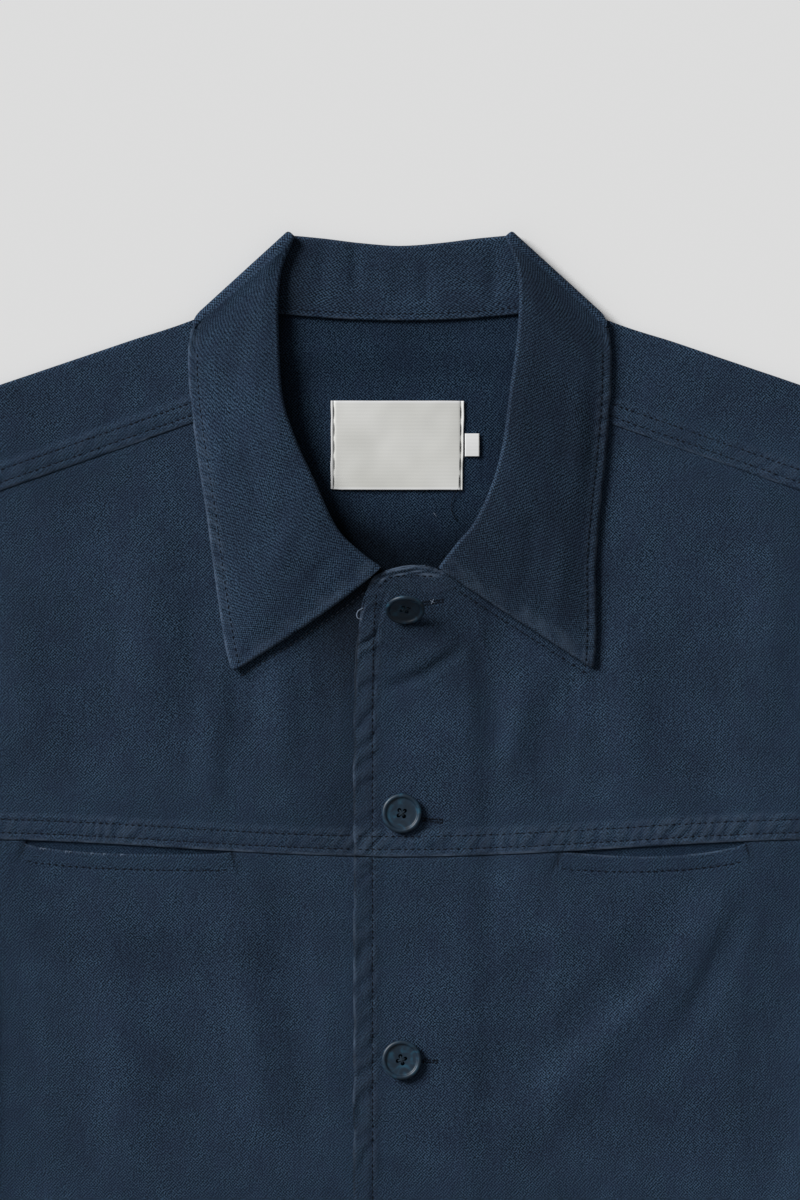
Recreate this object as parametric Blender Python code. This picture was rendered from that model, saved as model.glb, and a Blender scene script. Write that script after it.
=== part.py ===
"""A cotton-twill chore jacket, buttoned and laid flat on its back.

X runs across the jacket, +Y runs up towards the collar and +Z points up from the surface.
Every piece is a wall of cloth along a middle surface, which lies at a height above the surface.
Lengths below are in millimetres, and the meshes are in metres.
"""

import math

import bmesh
import bpy

MM = 0.001

# Cloth and seams
CLOTH = 1.2               # twill of the body and sleeves, with its seam allowances pressed in
COLLAR_CLOTH = 1.6        # two layers of twill and an interlining
TRIM = 1.0                # pocket facings and the labels
SEAM_GAP = 0.3            # what stays open between two pieces at a seam, or between two layers
ARMHOLE_GAP = 0.4         # the same between the body and a sleeve

# Heights of the middle surfaces
BACK_LEVEL = CLOTH / 2
FRONT_LEVEL = 2.4
LAP_RISE = CLOTH + SEAM_GAP            # the top front where it laps over the under front
POCKET_RISE = 1.0                      # the fronts where they pass over a pocket facing
SHOULDER_RISE = 0.8                    # the front layer at the shoulder fold
FALL_LEVEL = COLLAR_CLOTH / 2          # the collar's fall where it lies under the back
BACK_OVER_FALL = 1.9                   # how far the back rises to pass over that fall

# Body outline, for the half on +X
NECK_POINT = (79.5, 332.6)
SHOULDER_POINT = (250.0, 274.6)
UNDERARM = (289.8, 77.9)
HEM_CORNER = (287.0, -370.0)
BACK_NECK_LOW = 326.8                  # the back neck seam at the centre
ARMHOLE_SHARES = (0.0, 0.07, 0.14, 0.272, 0.42, 0.56, 0.69, 0.8, 0.9, 1.0)     # of its depth
ARMHOLE_SWEEP = 1.6                    # power of the curve that turns it out to the underarm
YOKE_SEAM_AT = 3                       # which of the armhole's points the yoke seam runs to
YOKE_NECK_END = (78.5, 283.0)
CHEST_LOW, CHEST_RISE, CHEST_REACH = 55.8, 8.8, 225.0      # the chest seam dips towards the centre

# Front edges
TOP_EDGE_X = -23.2                     # free edge of the top front
UNDER_EDGE_X = 24.0                    # edge of the under front, below it
TOP_NECK = [                           # x, y: neck edge and rounded corner of the top front
    (16.5, 198.0),
    (0.0, 199.0),
    (-8.6, 196.2),
    (-14.8, 188.0),
    (-20.6, 168.0),
    (-23.0, 130.0),
]
UNDER_NECK = [                         # x, y: neck edge and corner of the under front
    (4.0, 197.4),
    (20.0, 197.0),
    (24.0, 186.0),
    (24.0, 156.0),
    (24.0, 122.0),
    (24.0, 88.0),
]

# Pocket mouths in the chest seam
POCKETS = {"right": (-188.6, -84.7), "left": (80.6, 173.9)}     # x of the two ends
MOUTH_SAG = 6.8                        # how far the lower lip hangs open in the middle
FACING_BELOW, FACING_ABOVE, FACING_END = 34.0, 8.0, 10.0

# Sleeves, for the half on +X
CUFF_TOP = (793.5, -2.3)
CUFF_UNDER = (734.5, -118.1)
SLEEVE_BOW = 16.0                      # how far the top edge swings out past a straight line
BOW_EARLY = 0.75                       # power that brings the fullest part nearer the shoulder

# Collar: roll line, neck seam and outer edge from the front end to the last section before the shoulder
COLLAR_COLUMNS = ("roll_x", "roll_y", "roll_z", "neck_x", "neck_y", "edge_x", "edge_y", "edge_z", "bow")
COLLAR_SECTIONS = {
    "right": [
        (-9.6, 202.8, 5.0, -13.5, 198.0, -84.2, 148.7, 5.6, 5.0),
        (-20.2, 209.4, 6.6, -24.0, 203.0, -87.0, 160.0, 5.6, 3.0),
        (-31.8, 221.5, 8.6, -40.0, 215.0, -89.4, 174.0, 5.5, 1.5),
        (-43.0, 245.2, 10.2, -57.0, 236.0, -93.4, 202.0, 5.3, 0.0),
        (-52.2, 265.4, 10.9, -69.0, 258.0, -96.8, 228.0, 5.3, 0.0),
        (-58.5, 285.5, 11.0, -77.0, 279.0, -100.6, 252.0, 5.6, 0.0),
        (-60.5, 310.7, 10.4, -81.0, 300.0, -104.8, 284.0, 6.2, 0.0),
        (-60.9, 333.9, 8.8, -82.0, 315.0, -106.0, 303.0, 6.6, 0.0),
        (-59.4, 350.0, 7.3, -81.2, 323.0, -105.6, 314.0, 6.9, 0.0),
        (-55.4, 361.0, 6.9, -80.4, 328.4, -104.2, 320.8, 7.4, 0.0),
    ],
    "left": [
        (19.2, 202.2, 5.9, 23.0, 197.4, 97.3, 150.4, 5.8, 0.0),
        (28.5, 213.4, 7.2, 32.0, 208.0, 98.0, 162.0, 5.8, 0.0),
        (37.6, 224.5, 8.9, 45.0, 218.5, 98.3, 176.0, 5.6, 0.0),
        (46.8, 245.2, 10.3, 60.0, 237.0, 98.0, 202.0, 5.4, 0.0),
        (51.8, 265.4, 10.9, 70.0, 258.0, 100.2, 230.0, 5.4, 0.0),
        (54.8, 288.5, 11.0, 77.0, 279.0, 102.8, 254.0, 5.6, 0.0),
        (58.0, 310.7, 10.4, 81.0, 300.0, 105.3, 284.0, 6.2, 0.0),
        (59.7, 332.4, 8.8, 82.0, 315.0, 105.8, 303.0, 6.6, 0.0),
        (59.0, 350.0, 7.3, 81.2, 323.0, 105.4, 314.0, 6.9, 0.0),
        (55.4, 361.0, 6.9, 80.4, 328.4, 104.2, 320.8, 7.4, 0.0),
    ],
}
ROLL_RADIUS = 1.25                     # middle surface, where the collar turns over at the roll line
WRAP_STAND = 1.05                      # radius of the stand where the collar wraps round each shoulder
WRAP_FALL = WRAP_STAND + 2 * ROLL_RADIUS
WRAP_CENTRE = FALL_LEVEL + WRAP_FALL
PEAK = (54.5, 366.2)                   # centre of the roll at each peak of the collar
WRAP_NECK = (78.0, 334.5)
WRAP_EDGE = (101.2, 323.6)
WRAP_UNDER = 0.90                      # share of the fall's length that is left once it has turned under
WRAP_OVER = 0.145                      # share that it gains on top, where it meets the outer edge
BACK_COLLAR = [                        # x and y of the roll's centre, x of the neck seam, x and y of the edge
    (38.0, 364.6, 54.0, 72.0, 321.5),
    (20.0, 362.4, 27.0, 37.0, 318.8),
    (0.0, 361.0, 0.0, 0.0, 317.5),
]

# Labels, bare, on the inside of the back
LABEL = (-34.8, 240.2, 32.3, 285.0)    # x and y of two corners
SIZE_TAB = (32.7, 257.0, 40.0, 268.5)

# Buttons
BUTTON_GAP = 0.4                       # thread shank between a button and the cloth
BUTTONS = [                            # x, y, tilt in degrees
    (2.5, 181.2, 46.0),
    (0.9, 77.6, 0.0),
    (0.8, -46.3, 0.0),
    (0.8, -170.1, 0.0),
    (0.8, -294.1, 0.0),
]
BUTTON_PROFILE = [                     # radius, height, from the middle of the back to the middle of the face
    (7.4, 0.0),
    (9.3, 0.7),
    (10.0, 1.8),                       # the rim
    (9.5, 2.8),
    (8.8, 3.1),
    (8.0, 2.8),
    (7.3, 2.1),
    (4.0, 1.9),
]
HOLE_RADIUS, HOLE_SPACING, HOLE_TURN = 0.75, 2.8, -20.0

# Large soft folds of the front layer: x and y of both ends, height, half width
FRONT_FOLDS = [
    (-63.0, 162.0, -57.0, 95.0, 0.9, 16.0),
    (-130.0, 210.0, -122.0, 120.0, 0.7, 24.0),
    (113.0, 170.0, 114.0, 87.0, 0.7, 22.0),
    (171.0, 36.0, 62.0, -103.0, 1.2, 24.0),
    (-61.5, 33.7, -50.0, -60.0, 0.9, 20.0),
    (-205.0, 20.0, -190.0, -150.0, 0.9, 26.0),
    (-240.0, 90.0, -150.0, -10.0, 0.8, 24.0),
    (215.0, -60.0, 190.0, -230.0, 1.0, 28.0),
    (-150.0, -140.0, -95.0, -290.0, 1.0, 26.0),
    (110.0, -180.0, 90.0, -330.0, 0.8, 24.0),
]
SLEEVE_FOLDS = [                       # share of the length, slant, height, half width
    (0.12, 26.0, 0.8, 20.0),
    (0.30, -20.0, 0.7, 22.0),
    (0.48, 30.0, 1.0, 20.0),
    (0.60, -24.0, 0.9, 18.0),
    (0.82, 14.0, 0.6, 22.0),
]

# Finishes: colour, roughness
NAVY = ((0.0176, 0.0296, 0.0513), 0.88)
NAVY_DARK = ((0.0130, 0.0222, 0.0395), 0.90)
OFF_WHITE = ((0.560, 0.560, 0.545), 0.75)
BUTTON_FINISH = ((0.0080, 0.0160, 0.0260), 0.35)


def smooth(value):
    """0 up to 0, 1 from 1 on, and a soft step between."""
    value = min(max(value, 0.0), 1.0)
    return value * value * (3.0 - 2.0 * value)


def mix(first, second, share):
    return tuple(a + (b - a) * share for a, b in zip(first, second))


def unit(start, end):
    """Direction in plan from one point to another."""
    length = math.dist(start[:2], end[:2])
    return ((end[0] - start[0]) / length, (end[1] - start[1]) / length)


def curve_at(rows, share):
    """Row of values on a smooth curve through the rows, at a share of its length in plan."""
    spans = [math.dist(a[:2], b[:2]) for a, b in zip(rows, rows[1:])]
    target = share * sum(spans)
    index = 0
    while index < len(spans) - 1 and target > spans[index]:
        target -= spans[index]
        index += 1
    t = min(target / spans[index], 1.0)
    before = rows[max(index - 1, 0)]
    after = rows[min(index + 2, len(rows) - 1)]
    values = []
    for p0, p1, p2, p3 in zip(before, rows[index], rows[index + 1], after):
        leave, arrive = (p2 - p0) / 2, (p3 - p1) / 2
        rise = p2 - p1
        values.append(p1 + leave * t + (3 * rise - 2 * leave - arrive) * t * t
                      + (leave + arrive - 2 * rise) * t ** 3)
    return tuple(values)


def chest_y(x):
    """The chest seam."""
    return CHEST_LOW + CHEST_RISE * math.sin(math.pi / 2 * min(abs(x) / CHEST_REACH, 1.0)) ** 2


def to_segment(point, start, end):
    """Distance in plan from a point to a segment, and how far along the nearest place is."""
    dx, dy = end[0] - start[0], end[1] - start[1]
    along = ((point[0] - start[0]) * dx + (point[1] - start[1]) * dy) / (dx * dx + dy * dy)
    along = min(max(along, 0.0), 1.0)
    near = (start[0] + dx * along, start[1] + dy * along)
    return math.dist(point, near), along


def fold_height(x, y):
    """What the large soft folds add to the front layer."""
    total = 0.0
    for x0, y0, x1, y1, height, half_width in FRONT_FOLDS:
        away, along = to_segment((x, y), (x0, y0), (x1, y1))
        total += height * (1.0 - smooth(away / half_width)) * math.sin(math.pi * (0.1 + 0.8 * along))
    return total


def armhole_line():
    """The armhole from the shoulder down to the underarm, for the half on +X."""
    points = []
    for share in ARMHOLE_SHARES:
        x = SHOULDER_POINT[0] + (UNDERARM[0] - SHOULDER_POINT[0]) * share ** ARMHOLE_SWEEP
        points.append((x, SHOULDER_POINT[1] + (UNDERARM[1] - SHOULDER_POINT[1]) * share))
    return points


ARMHOLE = armhole_line()
YOKE_SEAM = (YOKE_NECK_END, ARMHOLE[YOKE_SEAM_AT])


def back_neck_y(x):
    """The back neck seam."""
    return BACK_NECK_LOW + (NECK_POINT[1] - BACK_NECK_LOW) * (x / NECK_POINT[0]) ** 2


def shoulder_y(x):
    slope = (SHOULDER_POINT[1] - NECK_POINT[1]) / (SHOULDER_POINT[0] - NECK_POINT[0])
    return NECK_POINT[1] + slope * (abs(x) - NECK_POINT[0])


def neck_line(side):
    """Front neck seam from the shoulder to the front end of the collar, with the height at each point."""
    sign = -1 if side == "right" else 1
    end_level = FRONT_LEVEL if side == "right" else FRONT_LEVEL + LAP_RISE
    rows = [(sign * NECK_POINT[0], NECK_POINT[1], 5.2)]
    sections = COLLAR_SECTIONS[side]
    for index in range(len(sections) - 1, -1, -1):
        row = dict(zip(COLLAR_COLUMNS, sections[index]))
        level = end_level + (5.3 - end_level) * smooth(index / 4)
        rows.append((row["neck_x"], row["neck_y"], level))
    return rows


NECK_LINES = {side: neck_line(side) for side in ("right", "left")}


def front_height(x, y, side):
    """Middle surface of the front layer: the two fronts, and the shoulder that comes over to them."""
    level = FRONT_LEVEL
    level += SHOULDER_RISE * (1.0 - smooth((shoulder_y(x) - y) / 60.0))
    for x0, x1 in POCKETS.values():
        seam = chest_y(x)
        beside = max(x0 - FACING_END - x, x - x1 - FACING_END, y - seam - FACING_ABOVE, seam - FACING_BELOW - y)
        level += POCKET_RISE * (1.0 - smooth((beside - 6.0) / 22.0))
    lap = smooth((48.0 - x) / 15.0) if side == "left" else 0.0
    level += LAP_RISE * lap
    nearest = min(
        (to_segment((x, y), a, b) + (a, b) for a, b in zip(NECK_LINES[side], NECK_LINES[side][1:])),
        key=lambda found: found[0],
    )
    away, along, start, end = nearest
    neck_level = start[2] + (end[2] - start[2]) * along
    level += (neck_level - level) * (1.0 - smooth(away / 44.0))
    clear_of_lap = smooth((abs(x) - 26.0) / 22.0)
    clear_of_collar = smooth((away - 30.0) / 30.0)
    clear_of_hem = smooth((y - HEM_CORNER[1]) / 30.0)
    clear_of_side = smooth((285.0 - abs(x)) / 30.0)
    return level + fold_height(x, y) * clear_of_lap * clear_of_collar * clear_of_hem * clear_of_side


def back_height(x, y):
    """Middle surface of the back, which rises where it passes over the collar's fall."""
    over_fall = smooth((y - 294.0) / 18.0) * smooth((138.0 - abs(x)) / 30.0)
    return BACK_LEVEL + BACK_OVER_FALL * over_fall


def cover_height(x, y, side):
    """The highest cloth under the collar's fall."""
    level = front_height(x, y, side)
    if side == "right":
        level = max(level, FRONT_LEVEL + LAP_RISE * smooth((x + 38.0) / 11.0))
    return level


def add_object(name, mesh, finish):
    """Wrap a mesh in an object with a plain material."""
    colour, roughness = finish
    material = bpy.data.materials.new(name)
    material.use_nodes = True
    shader = material.node_tree.nodes["Principled BSDF"]
    shader.inputs["Base Color"].default_value = (*colour, 1.0)
    shader.inputs["Roughness"].default_value = roughness
    shader.inputs["Metallic"].default_value = 0.0
    mesh.materials.append(material)
    mesh.shade_smooth()
    piece = bpy.data.objects.new(name, mesh)
    bpy.context.collection.objects.link(piece)
    return piece


def cloth_wall(name, grids, thickness, finish, closed=False, even=True):
    """A wall of cloth through one or more grids of points, which share points where they meet."""
    model = bmesh.new()
    made = {}
    for grid in grids:
        corners = []
        for row in grid:
            line = []
            for point in row:
                key = tuple(round(value, 4) for value in point)
                if key not in made:
                    made[key] = model.verts.new([value * MM for value in point])
                line.append(made[key])
            corners.append(line)
        for lower, upper in zip(corners, corners[1:]):
            last = len(lower) if closed else len(lower) - 1
            for index in range(last):
                after = (index + 1) % len(lower)
                model.faces.new((lower[index], lower[after], upper[after], upper[index]))
    bmesh.ops.recalc_face_normals(model, faces=model.faces)
    mesh = bpy.data.meshes.new(name)
    model.to_mesh(mesh)
    model.free()
    piece = add_object(name, mesh, finish)
    wall = piece.modifiers.new("wall", "SOLIDIFY")
    wall.thickness = thickness * MM
    wall.offset = 0.0
    wall.use_even_offset = even
    return piece


def make_back():
    """The back, with the forward shoulder that folds over to the yoke seam on each side."""
    neck_steps = [0.0, 25.0, 50.0]
    shoulder_shares = [0.0, 0.16, 0.33, 0.55, 0.78, 1.0]
    shoulder_xy = [mix(NECK_POINT, SHOULDER_POINT, share) for share in shoulder_shares]
    top = [(x, back_neck_y(x)) for x in neck_steps]
    top += shoulder_xy
    columns = [(-x, y) for x, y in reversed(top[1:])] + top
    side_line = [mix(HEM_CORNER, UNDERARM, share) for share in (0.0, 0.2, 0.4, 0.6, 0.8)] + ARMHOLE[::-1]
    main = []
    for edge_x, edge_y in side_line:
        rise = smooth((edge_y - UNDERARM[1]) / (SHOULDER_POINT[1] - UNDERARM[1]))
        row = []
        for x, y in columns:
            across = x / SHOULDER_POINT[0]
            place = (across * edge_x, edge_y + (y - SHOULDER_POINT[1]) * rise)
            row.append((*place, back_height(*place)))
        main.append(row)
    return cloth_wall("back", [main] + [shoulder_grid(side) for side in ("right", "left")], CLOTH, NAVY)


def shoulder_grid(side):
    """The part of the back that turns over the shoulder and comes down to the yoke seam."""
    sign = -1 if side == "right" else 1
    shoulder_shares = [0.0, 0.16, 0.33, 0.55, 0.78, 1.0]
    outward = unit(NECK_POINT, SHOULDER_POINT)
    outward = (-outward[1], outward[0])
    turns = [0.0, 45.0, 90.0, 135.0]
    grid = []
    for turn in turns:
        row = []
        for share in shoulder_shares:
            x, y = mix(NECK_POINT, SHOULDER_POINT, share)
            low, high = back_height(x, y), front_height(sign * x, y, side)
            radius = (high - low) / 2
            push = radius * math.sin(math.radians(turn))
            place = (sign * (x + outward[0] * push), y + outward[1] * push)
            row.append((*place, low + radius - radius * math.cos(math.radians(turn))))
        grid.append(row)
    neck = [(abs(x), y) for x, y, level in NECK_LINES[side]][:6]
    neck_end = next(share / 100 for share in range(100) if curve_at(neck, share / 100)[1] < YOKE_SEAM[0][1])
    outer_line = ARMHOLE[:2] + [mix(ARMHOLE[1], ARMHOLE[2], 0.5)] + ARMHOLE[2:YOKE_SEAM_AT]
    outer_line += [mix(ARMHOLE[YOKE_SEAM_AT - 1], ARMHOLE[YOKE_SEAM_AT], 0.5), ARMHOLE[YOKE_SEAM_AT]]
    last = len(outer_line) - 1
    for step, outer in enumerate(outer_line):
        inner = curve_at(neck, neck_end * step / last) if step < last else YOKE_NECK_END
        row = []
        for share in shoulder_shares:
            x, y = mix(inner, outer, share)
            row.append((sign * x, y, front_height(sign * x, y, side)))
        grid.append(row)
    return grid


def upper_front(side, inner_line):
    """A front from the yoke seam down to the chest seam."""
    sign = -1 if side == "right" else 1
    outer_line = [(sign * YOKE_SEAM[1][0], YOKE_SEAM[1][1] - SEAM_GAP)]
    for start, end in zip(ARMHOLE[YOKE_SEAM_AT:], ARMHOLE[YOKE_SEAM_AT + 1:]):
        outer_line += [(sign * x, y) for x, y in (mix(start, end, 0.5), end)]
    outer_line.append((sign * UNDERARM[0], chest_y(UNDERARM[0]) + SEAM_GAP))
    rows = len(outer_line)
    shares = [0.0, 0.07, 0.15, 0.23, 0.31, 0.39, 0.47, 0.54, 0.61, 0.68, 0.73, 0.775, 0.83, 0.89, 0.945, 1.0]
    grid = []
    for step, (outer, inner) in enumerate(zip(outer_line, inner_line)):
        down = step / (rows - 1)
        row = []
        for share in shares:
            x, y = mix(outer, inner, share)
            seam = chest_y(x) + SEAM_GAP
            straight = mix(outer_line[-1], inner_line[-1], share)[1]
            y += (seam - straight) * smooth(2.0 * down - 1.0)
            row.append((x, y, front_height(x, y, side)))
        grid.append(row)
    return cloth_wall(f"front_{side}_upper", [grid], CLOTH, NAVY)


def lower_front(side, edge_x, rows=13):
    """A front from the chest seam down to the hem, with the open lip of its pocket mouth."""
    sign = -1 if side == "right" else 1
    mouth_start, mouth_end = POCKETS[side]
    mouth = [mouth_start + (mouth_end - mouth_start) * step / 10 for step in range(11)]
    outer = [sign * x for x in (UNDERARM[0], 264.0, 238.0, 212.0)]
    inner = [edge_x, 30.0, 48.0, 64.0] if side == "left" else [edge_x, -8.0, -38.0, -66.0]
    xs = sorted(outer + mouth + inner)
    grid = []
    for step in range(rows):
        down = step / (rows - 1)
        row = []
        for x in xs:
            open_share = (x - mouth_start) / (mouth_end - mouth_start)
            lip = MOUTH_SAG * math.sin(math.pi * open_share) ** 0.8 if 0.0 < open_share < 1.0 else 0.0
            top = chest_y(x) - SEAM_GAP
            y = top + (HEM_CORNER[1] - top) * down ** 1.25 - lip * (1.0 - smooth(down / 0.12))
            if abs(x) == UNDERARM[0]:
                x = sign * mix(UNDERARM, HEM_CORNER, (UNDERARM[1] - y) / (UNDERARM[1] - HEM_CORNER[1]))[0]
            row.append((x, y, front_height(x, y, side)))
        grid.append(row)
    return cloth_wall(f"front_{side}_lower", [grid], CLOTH, NAVY)


def pocket_facing(side):
    """The cloth that shows inside a pocket mouth."""
    start, end = POCKETS[side]
    level = BACK_LEVEL + CLOTH / 2 + SEAM_GAP + TRIM / 2
    grid = []
    for down in (0.0, 0.5, 1.0):
        row = []
        for step in range(9):
            x = start - FACING_END + (end - start + 2 * FACING_END) * step / 8
            top = chest_y(x) + FACING_ABOVE
            row.append((x, top - (FACING_ABOVE + FACING_BELOW) * down, level))
        grid.append(row)
    return cloth_wall(f"pocket_facing_{side}", [grid], TRIM, NAVY_DARK)


def across_sleeve(share, down):
    """Place in plan on a sleeve: a share of the way from its top edge, and a share of its length."""
    index = 0
    while ARMHOLE_SHARES[index + 1] < share:
        index += 1
    low, high = ARMHOLE_SHARES[index:index + 2]
    x, y = mix(ARMHOLE[index], ARMHOLE[index + 1], (share - low) / (high - low))
    x, y = mix((x + ARMHOLE_GAP, y), mix(CUFF_TOP, CUFF_UNDER, share), down)
    along = unit(SHOULDER_POINT, CUFF_TOP)
    bow = SLEEVE_BOW * (1.0 - share) * math.sin(math.pi * down ** BOW_EARLY)
    return (x - along[1] * bow, y + along[0] * bow)


def sleeve(side):
    """A long sleeve, a flattened tube from the armhole to a plain hem."""
    sign = -1 if side == "right" else 1
    inside = ARMHOLE_SHARES[2:-1]
    seam = unit(UNDERARM, CUFF_UNDER)
    rings = []
    for step in range(15):
        down = step / 14
        ring = []
        for end, order in ((0.0, inside), (1.0, inside[::-1])):
            x, y = across_sleeve(end, down)
            inward = unit((x, y), across_sleeve(ARMHOLE_SHARES[1], down)) if end == 0.0 else (-seam[1], seam[0])
            radius = (sleeve_height(x, y, sign, side, down, end) - BACK_LEVEL) / 2
            for turn in (-90.0, -45.0, 0.0, 45.0, 90.0):
                turn = math.radians(turn if end == 0.0 else -turn)
                into = radius * (1.0 - math.cos(turn))
                place = (sign * (x + inward[0] * into), y + inward[1] * into)
                ring.append((*place, BACK_LEVEL + radius * (1.0 + math.sin(turn))))
            for share in order:
                x, y = across_sleeve(share, down)
                level = sleeve_height(x, y, sign, side, down, share) if end == 0.0 else BACK_LEVEL
                ring.append((sign * x, y, level))
        rings.append(ring)
    return cloth_wall(f"sleeve_{side}", [rings], CLOTH, NAVY, closed=True)


def sleeve_height(x, y, sign, side, down, share):
    """Middle surface of the sleeve's upper layer."""
    at_armhole = front_height(sign * x, y, side)
    level = FRONT_LEVEL + 0.9 * math.sin(math.pi * share) ** 0.5
    level = at_armhole + (level - at_armhole) * smooth(down / 0.08)
    length = math.dist(SHOULDER_POINT, CUFF_TOP)
    for place, slant, height, half_width in SLEEVE_FOLDS:
        away = abs((down - place) * length + slant * (share - 0.5) * 2)
        level += height * (1.0 - smooth(away / half_width)) * math.sin(math.pi * share)
    return level


def collar_section(kind, tip, centre, neck, edge, stand_z, fall_z, neck_z, edge_z, bow=0.0, side=None):
    """Points of one section of the collar: up the stand, over the roll towards its tip, and down the fall."""
    points = []
    for share in (0.0, 0.35, 0.7, 1.0):
        points.append((*mix(neck, centre, share), neck_z + (stand_z - neck_z) * share))
    middle_z, rise = (stand_z + fall_z) / 2, (fall_z - stand_z) / 2
    for turn in (-45.0, 0.0, 45.0):
        out = ROLL_RADIUS * math.cos(math.radians(turn))
        points.append((centre[0] + tip[0] * out, centre[1] + tip[1] * out,
                       middle_z + rise * math.sin(math.radians(turn))))
    for share in (0.0, 0.12, 0.28, 0.46, 0.64, 0.82, 1.0):
        x, y = mix(centre, edge, share)
        down = unit(centre, edge)
        bend = bow * math.sin(math.pi * share ** 0.7)
        x, y = x + down[1] * bend * math.copysign(1.0, -edge[0]), y - abs(down[0]) * bend
        z = fall_z + (edge_z - fall_z) * share + (0.5 if kind == "front" else 0.0) * math.sin(math.pi * share)
        if kind == "front" and share > 0.2:
            z = max(z, cover_height(x, y, side) + CLOTH / 2 + SEAM_GAP + COLLAR_CLOTH / 2)
        points.append((x, y, z))
    return points


def collar_wrap(sign, turn):
    """One section of the collar where it wraps round the shoulder, a turn of 0 being on top."""
    peak, neck, edge = [(sign * x, y) for x, y in (PEAK, WRAP_NECK, WRAP_EDGE)]
    stand_out, fall_out = unit(neck, peak), unit(edge, peak)
    tip = unit((0.0, 0.0), (stand_out[0] + fall_out[0], stand_out[1] + fall_out[1]))
    edge = mix(peak, edge, WRAP_UNDER + WRAP_OVER * max(math.cos(math.radians(turn)), 0.0))
    flat = collar_section("wrap", tip, peak, neck, edge, 0.0, 1.0, 0.0, 1.0)
    points = []
    for x, y, share in flat:
        along = mix(stand_out, fall_out, share)
        outward = (-along[1], along[0]) if sign < 0 else (along[1], -along[0])
        outward = (abs(outward[0]) * sign, abs(outward[1]))
        radius = WRAP_STAND + (WRAP_FALL - WRAP_STAND) * share
        push = radius * math.sin(math.radians(turn))
        points.append((x + outward[0] * push, y + outward[1] * push,
                       WRAP_CENTRE + radius * math.cos(math.radians(turn))))
    return points


def collar_half(side, count=17):
    """Sections from a front end of the collar to the shoulder."""
    sections = []
    for step in range(count):
        place = step / (count - 1)
        row = dict(zip(COLLAR_COLUMNS, curve_at(COLLAR_SECTIONS[side], place)))
        before = curve_at(COLLAR_SECTIONS[side], max(place - 0.02, 0.0))
        after = curve_at(COLLAR_SECTIONS[side], min(place + 0.02, 1.0))
        up = unit(before, after)
        tip = (up[1], -up[0]) if side == "right" else (-up[1], up[0])
        roll, neck = (row["roll_x"], row["roll_y"]), (row["neck_x"], row["neck_y"])
        edge = (row["edge_x"], row["edge_y"])
        inset = ROLL_RADIUS + COLLAR_CLOTH / 2
        centre = (roll[0] - tip[0] * inset, roll[1] - tip[1] * inset)
        towards = unit(neck, roll)
        neck_in = (neck[0] + towards[0] * 1.4, neck[1] + towards[1] * 1.4)
        neck_z = front_height(*neck, side)
        sections.append(collar_section(
            "front", tip, centre, neck_in, edge, row["roll_z"] - ROLL_RADIUS, row["roll_z"] + ROLL_RADIUS,
            neck_z, row["edge_z"], row["bow"], side))
    return sections


def make_collar():
    """The collar in one piece: stand, roll and fall, from front end to front end round the back."""
    stand_z = FALL_LEVEL + 2 * ROLL_RADIUS
    sections = collar_half("right")
    sections += [collar_wrap(-1, turn) for turn in (0.0, 45.0, 90.0, 135.0, 180.0)]
    half_back = []
    for roll_x, roll_y, neck_x, edge_x, edge_y in BACK_COLLAR:
        half_back.append(((roll_x, roll_y), (neck_x, back_neck_y(neck_x) + 0.6), (edge_x, edge_y)))
    ordered = [[(-x, y) for x, y in row] for row in half_back] + [list(row) for row in half_back[-2::-1]]
    for centre, neck, edge in ordered:
        sections.append(collar_section(
            "back", (0.0, 1.0), centre, neck, edge, stand_z, FALL_LEVEL, stand_z, FALL_LEVEL))
    sections += [collar_wrap(1, turn) for turn in (180.0, 135.0, 90.0, 45.0, 0.0)]
    sections += collar_half("left")[::-1]
    return cloth_wall("collar", [sections], COLLAR_CLOTH, NAVY, even=False)


def flat_label(name, corners, finish):
    """A small rectangle of tape that lies on the inside of the back."""
    x0, y0, x1, y1 = corners
    grid = []
    for step in range(4):
        y = y0 + (y1 - y0) * step / 3
        xs = [x0 + (x1 - x0) * share / 4 for share in range(5)]
        grid.append([(x, y, back_height(x, y) + CLOTH / 2 + SEAM_GAP + TRIM / 2) for x in xs])
    return cloth_wall(name, [grid], TRIM, finish)


def button_blank():
    """A turned button with a raised rim, a dished face and four holes."""
    model = bmesh.new()
    sides = 24
    rings = []
    for radius, height in BUTTON_PROFILE:
        ring = []
        for step in range(sides):
            angle = 2 * math.pi * step / sides
            ring.append(model.verts.new((radius * math.cos(angle) * MM, radius * math.sin(angle) * MM, height * MM)))
        rings.append(ring)
    for lower, upper in zip(rings, rings[1:]):
        for step in range(sides):
            after = (step + 1) % sides
            model.faces.new((lower[step], lower[after], upper[after], upper[step]))
    model.faces.new(rings[0][::-1])
    model.faces.new(rings[-1])
    bmesh.ops.recalc_face_normals(model, faces=model.faces)
    mesh = bpy.data.meshes.new("button")
    model.to_mesh(mesh)
    model.free()
    return mesh


def hole_cutter(name, place, tilt):
    """Four pins that cut a button's holes."""
    model = bmesh.new()
    for step in range(4):
        angle = math.radians(HOLE_TURN + 45.0 + 90.0 * step)
        reach = HOLE_SPACING / math.sqrt(2)
        made = bmesh.ops.create_cone(model, cap_ends=True, segments=8, radius1=HOLE_RADIUS * MM,
                                     radius2=HOLE_RADIUS * MM, depth=8.0 * MM)
        shift = (reach * math.cos(angle) * MM, reach * math.sin(angle) * MM, 1.0 * MM)
        bmesh.ops.translate(model, verts=made["verts"], vec=shift)
    mesh = bpy.data.meshes.new(name)
    model.to_mesh(mesh)
    model.free()
    cutter = bpy.data.objects.new(name, mesh)
    bpy.context.collection.objects.link(cutter)
    cutter.location = place
    cutter.rotation_euler = (math.radians(tilt), 0.0, 0.0)
    cutter.hide_render = True
    cutter.display_type = "WIRE"
    return cutter


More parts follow.
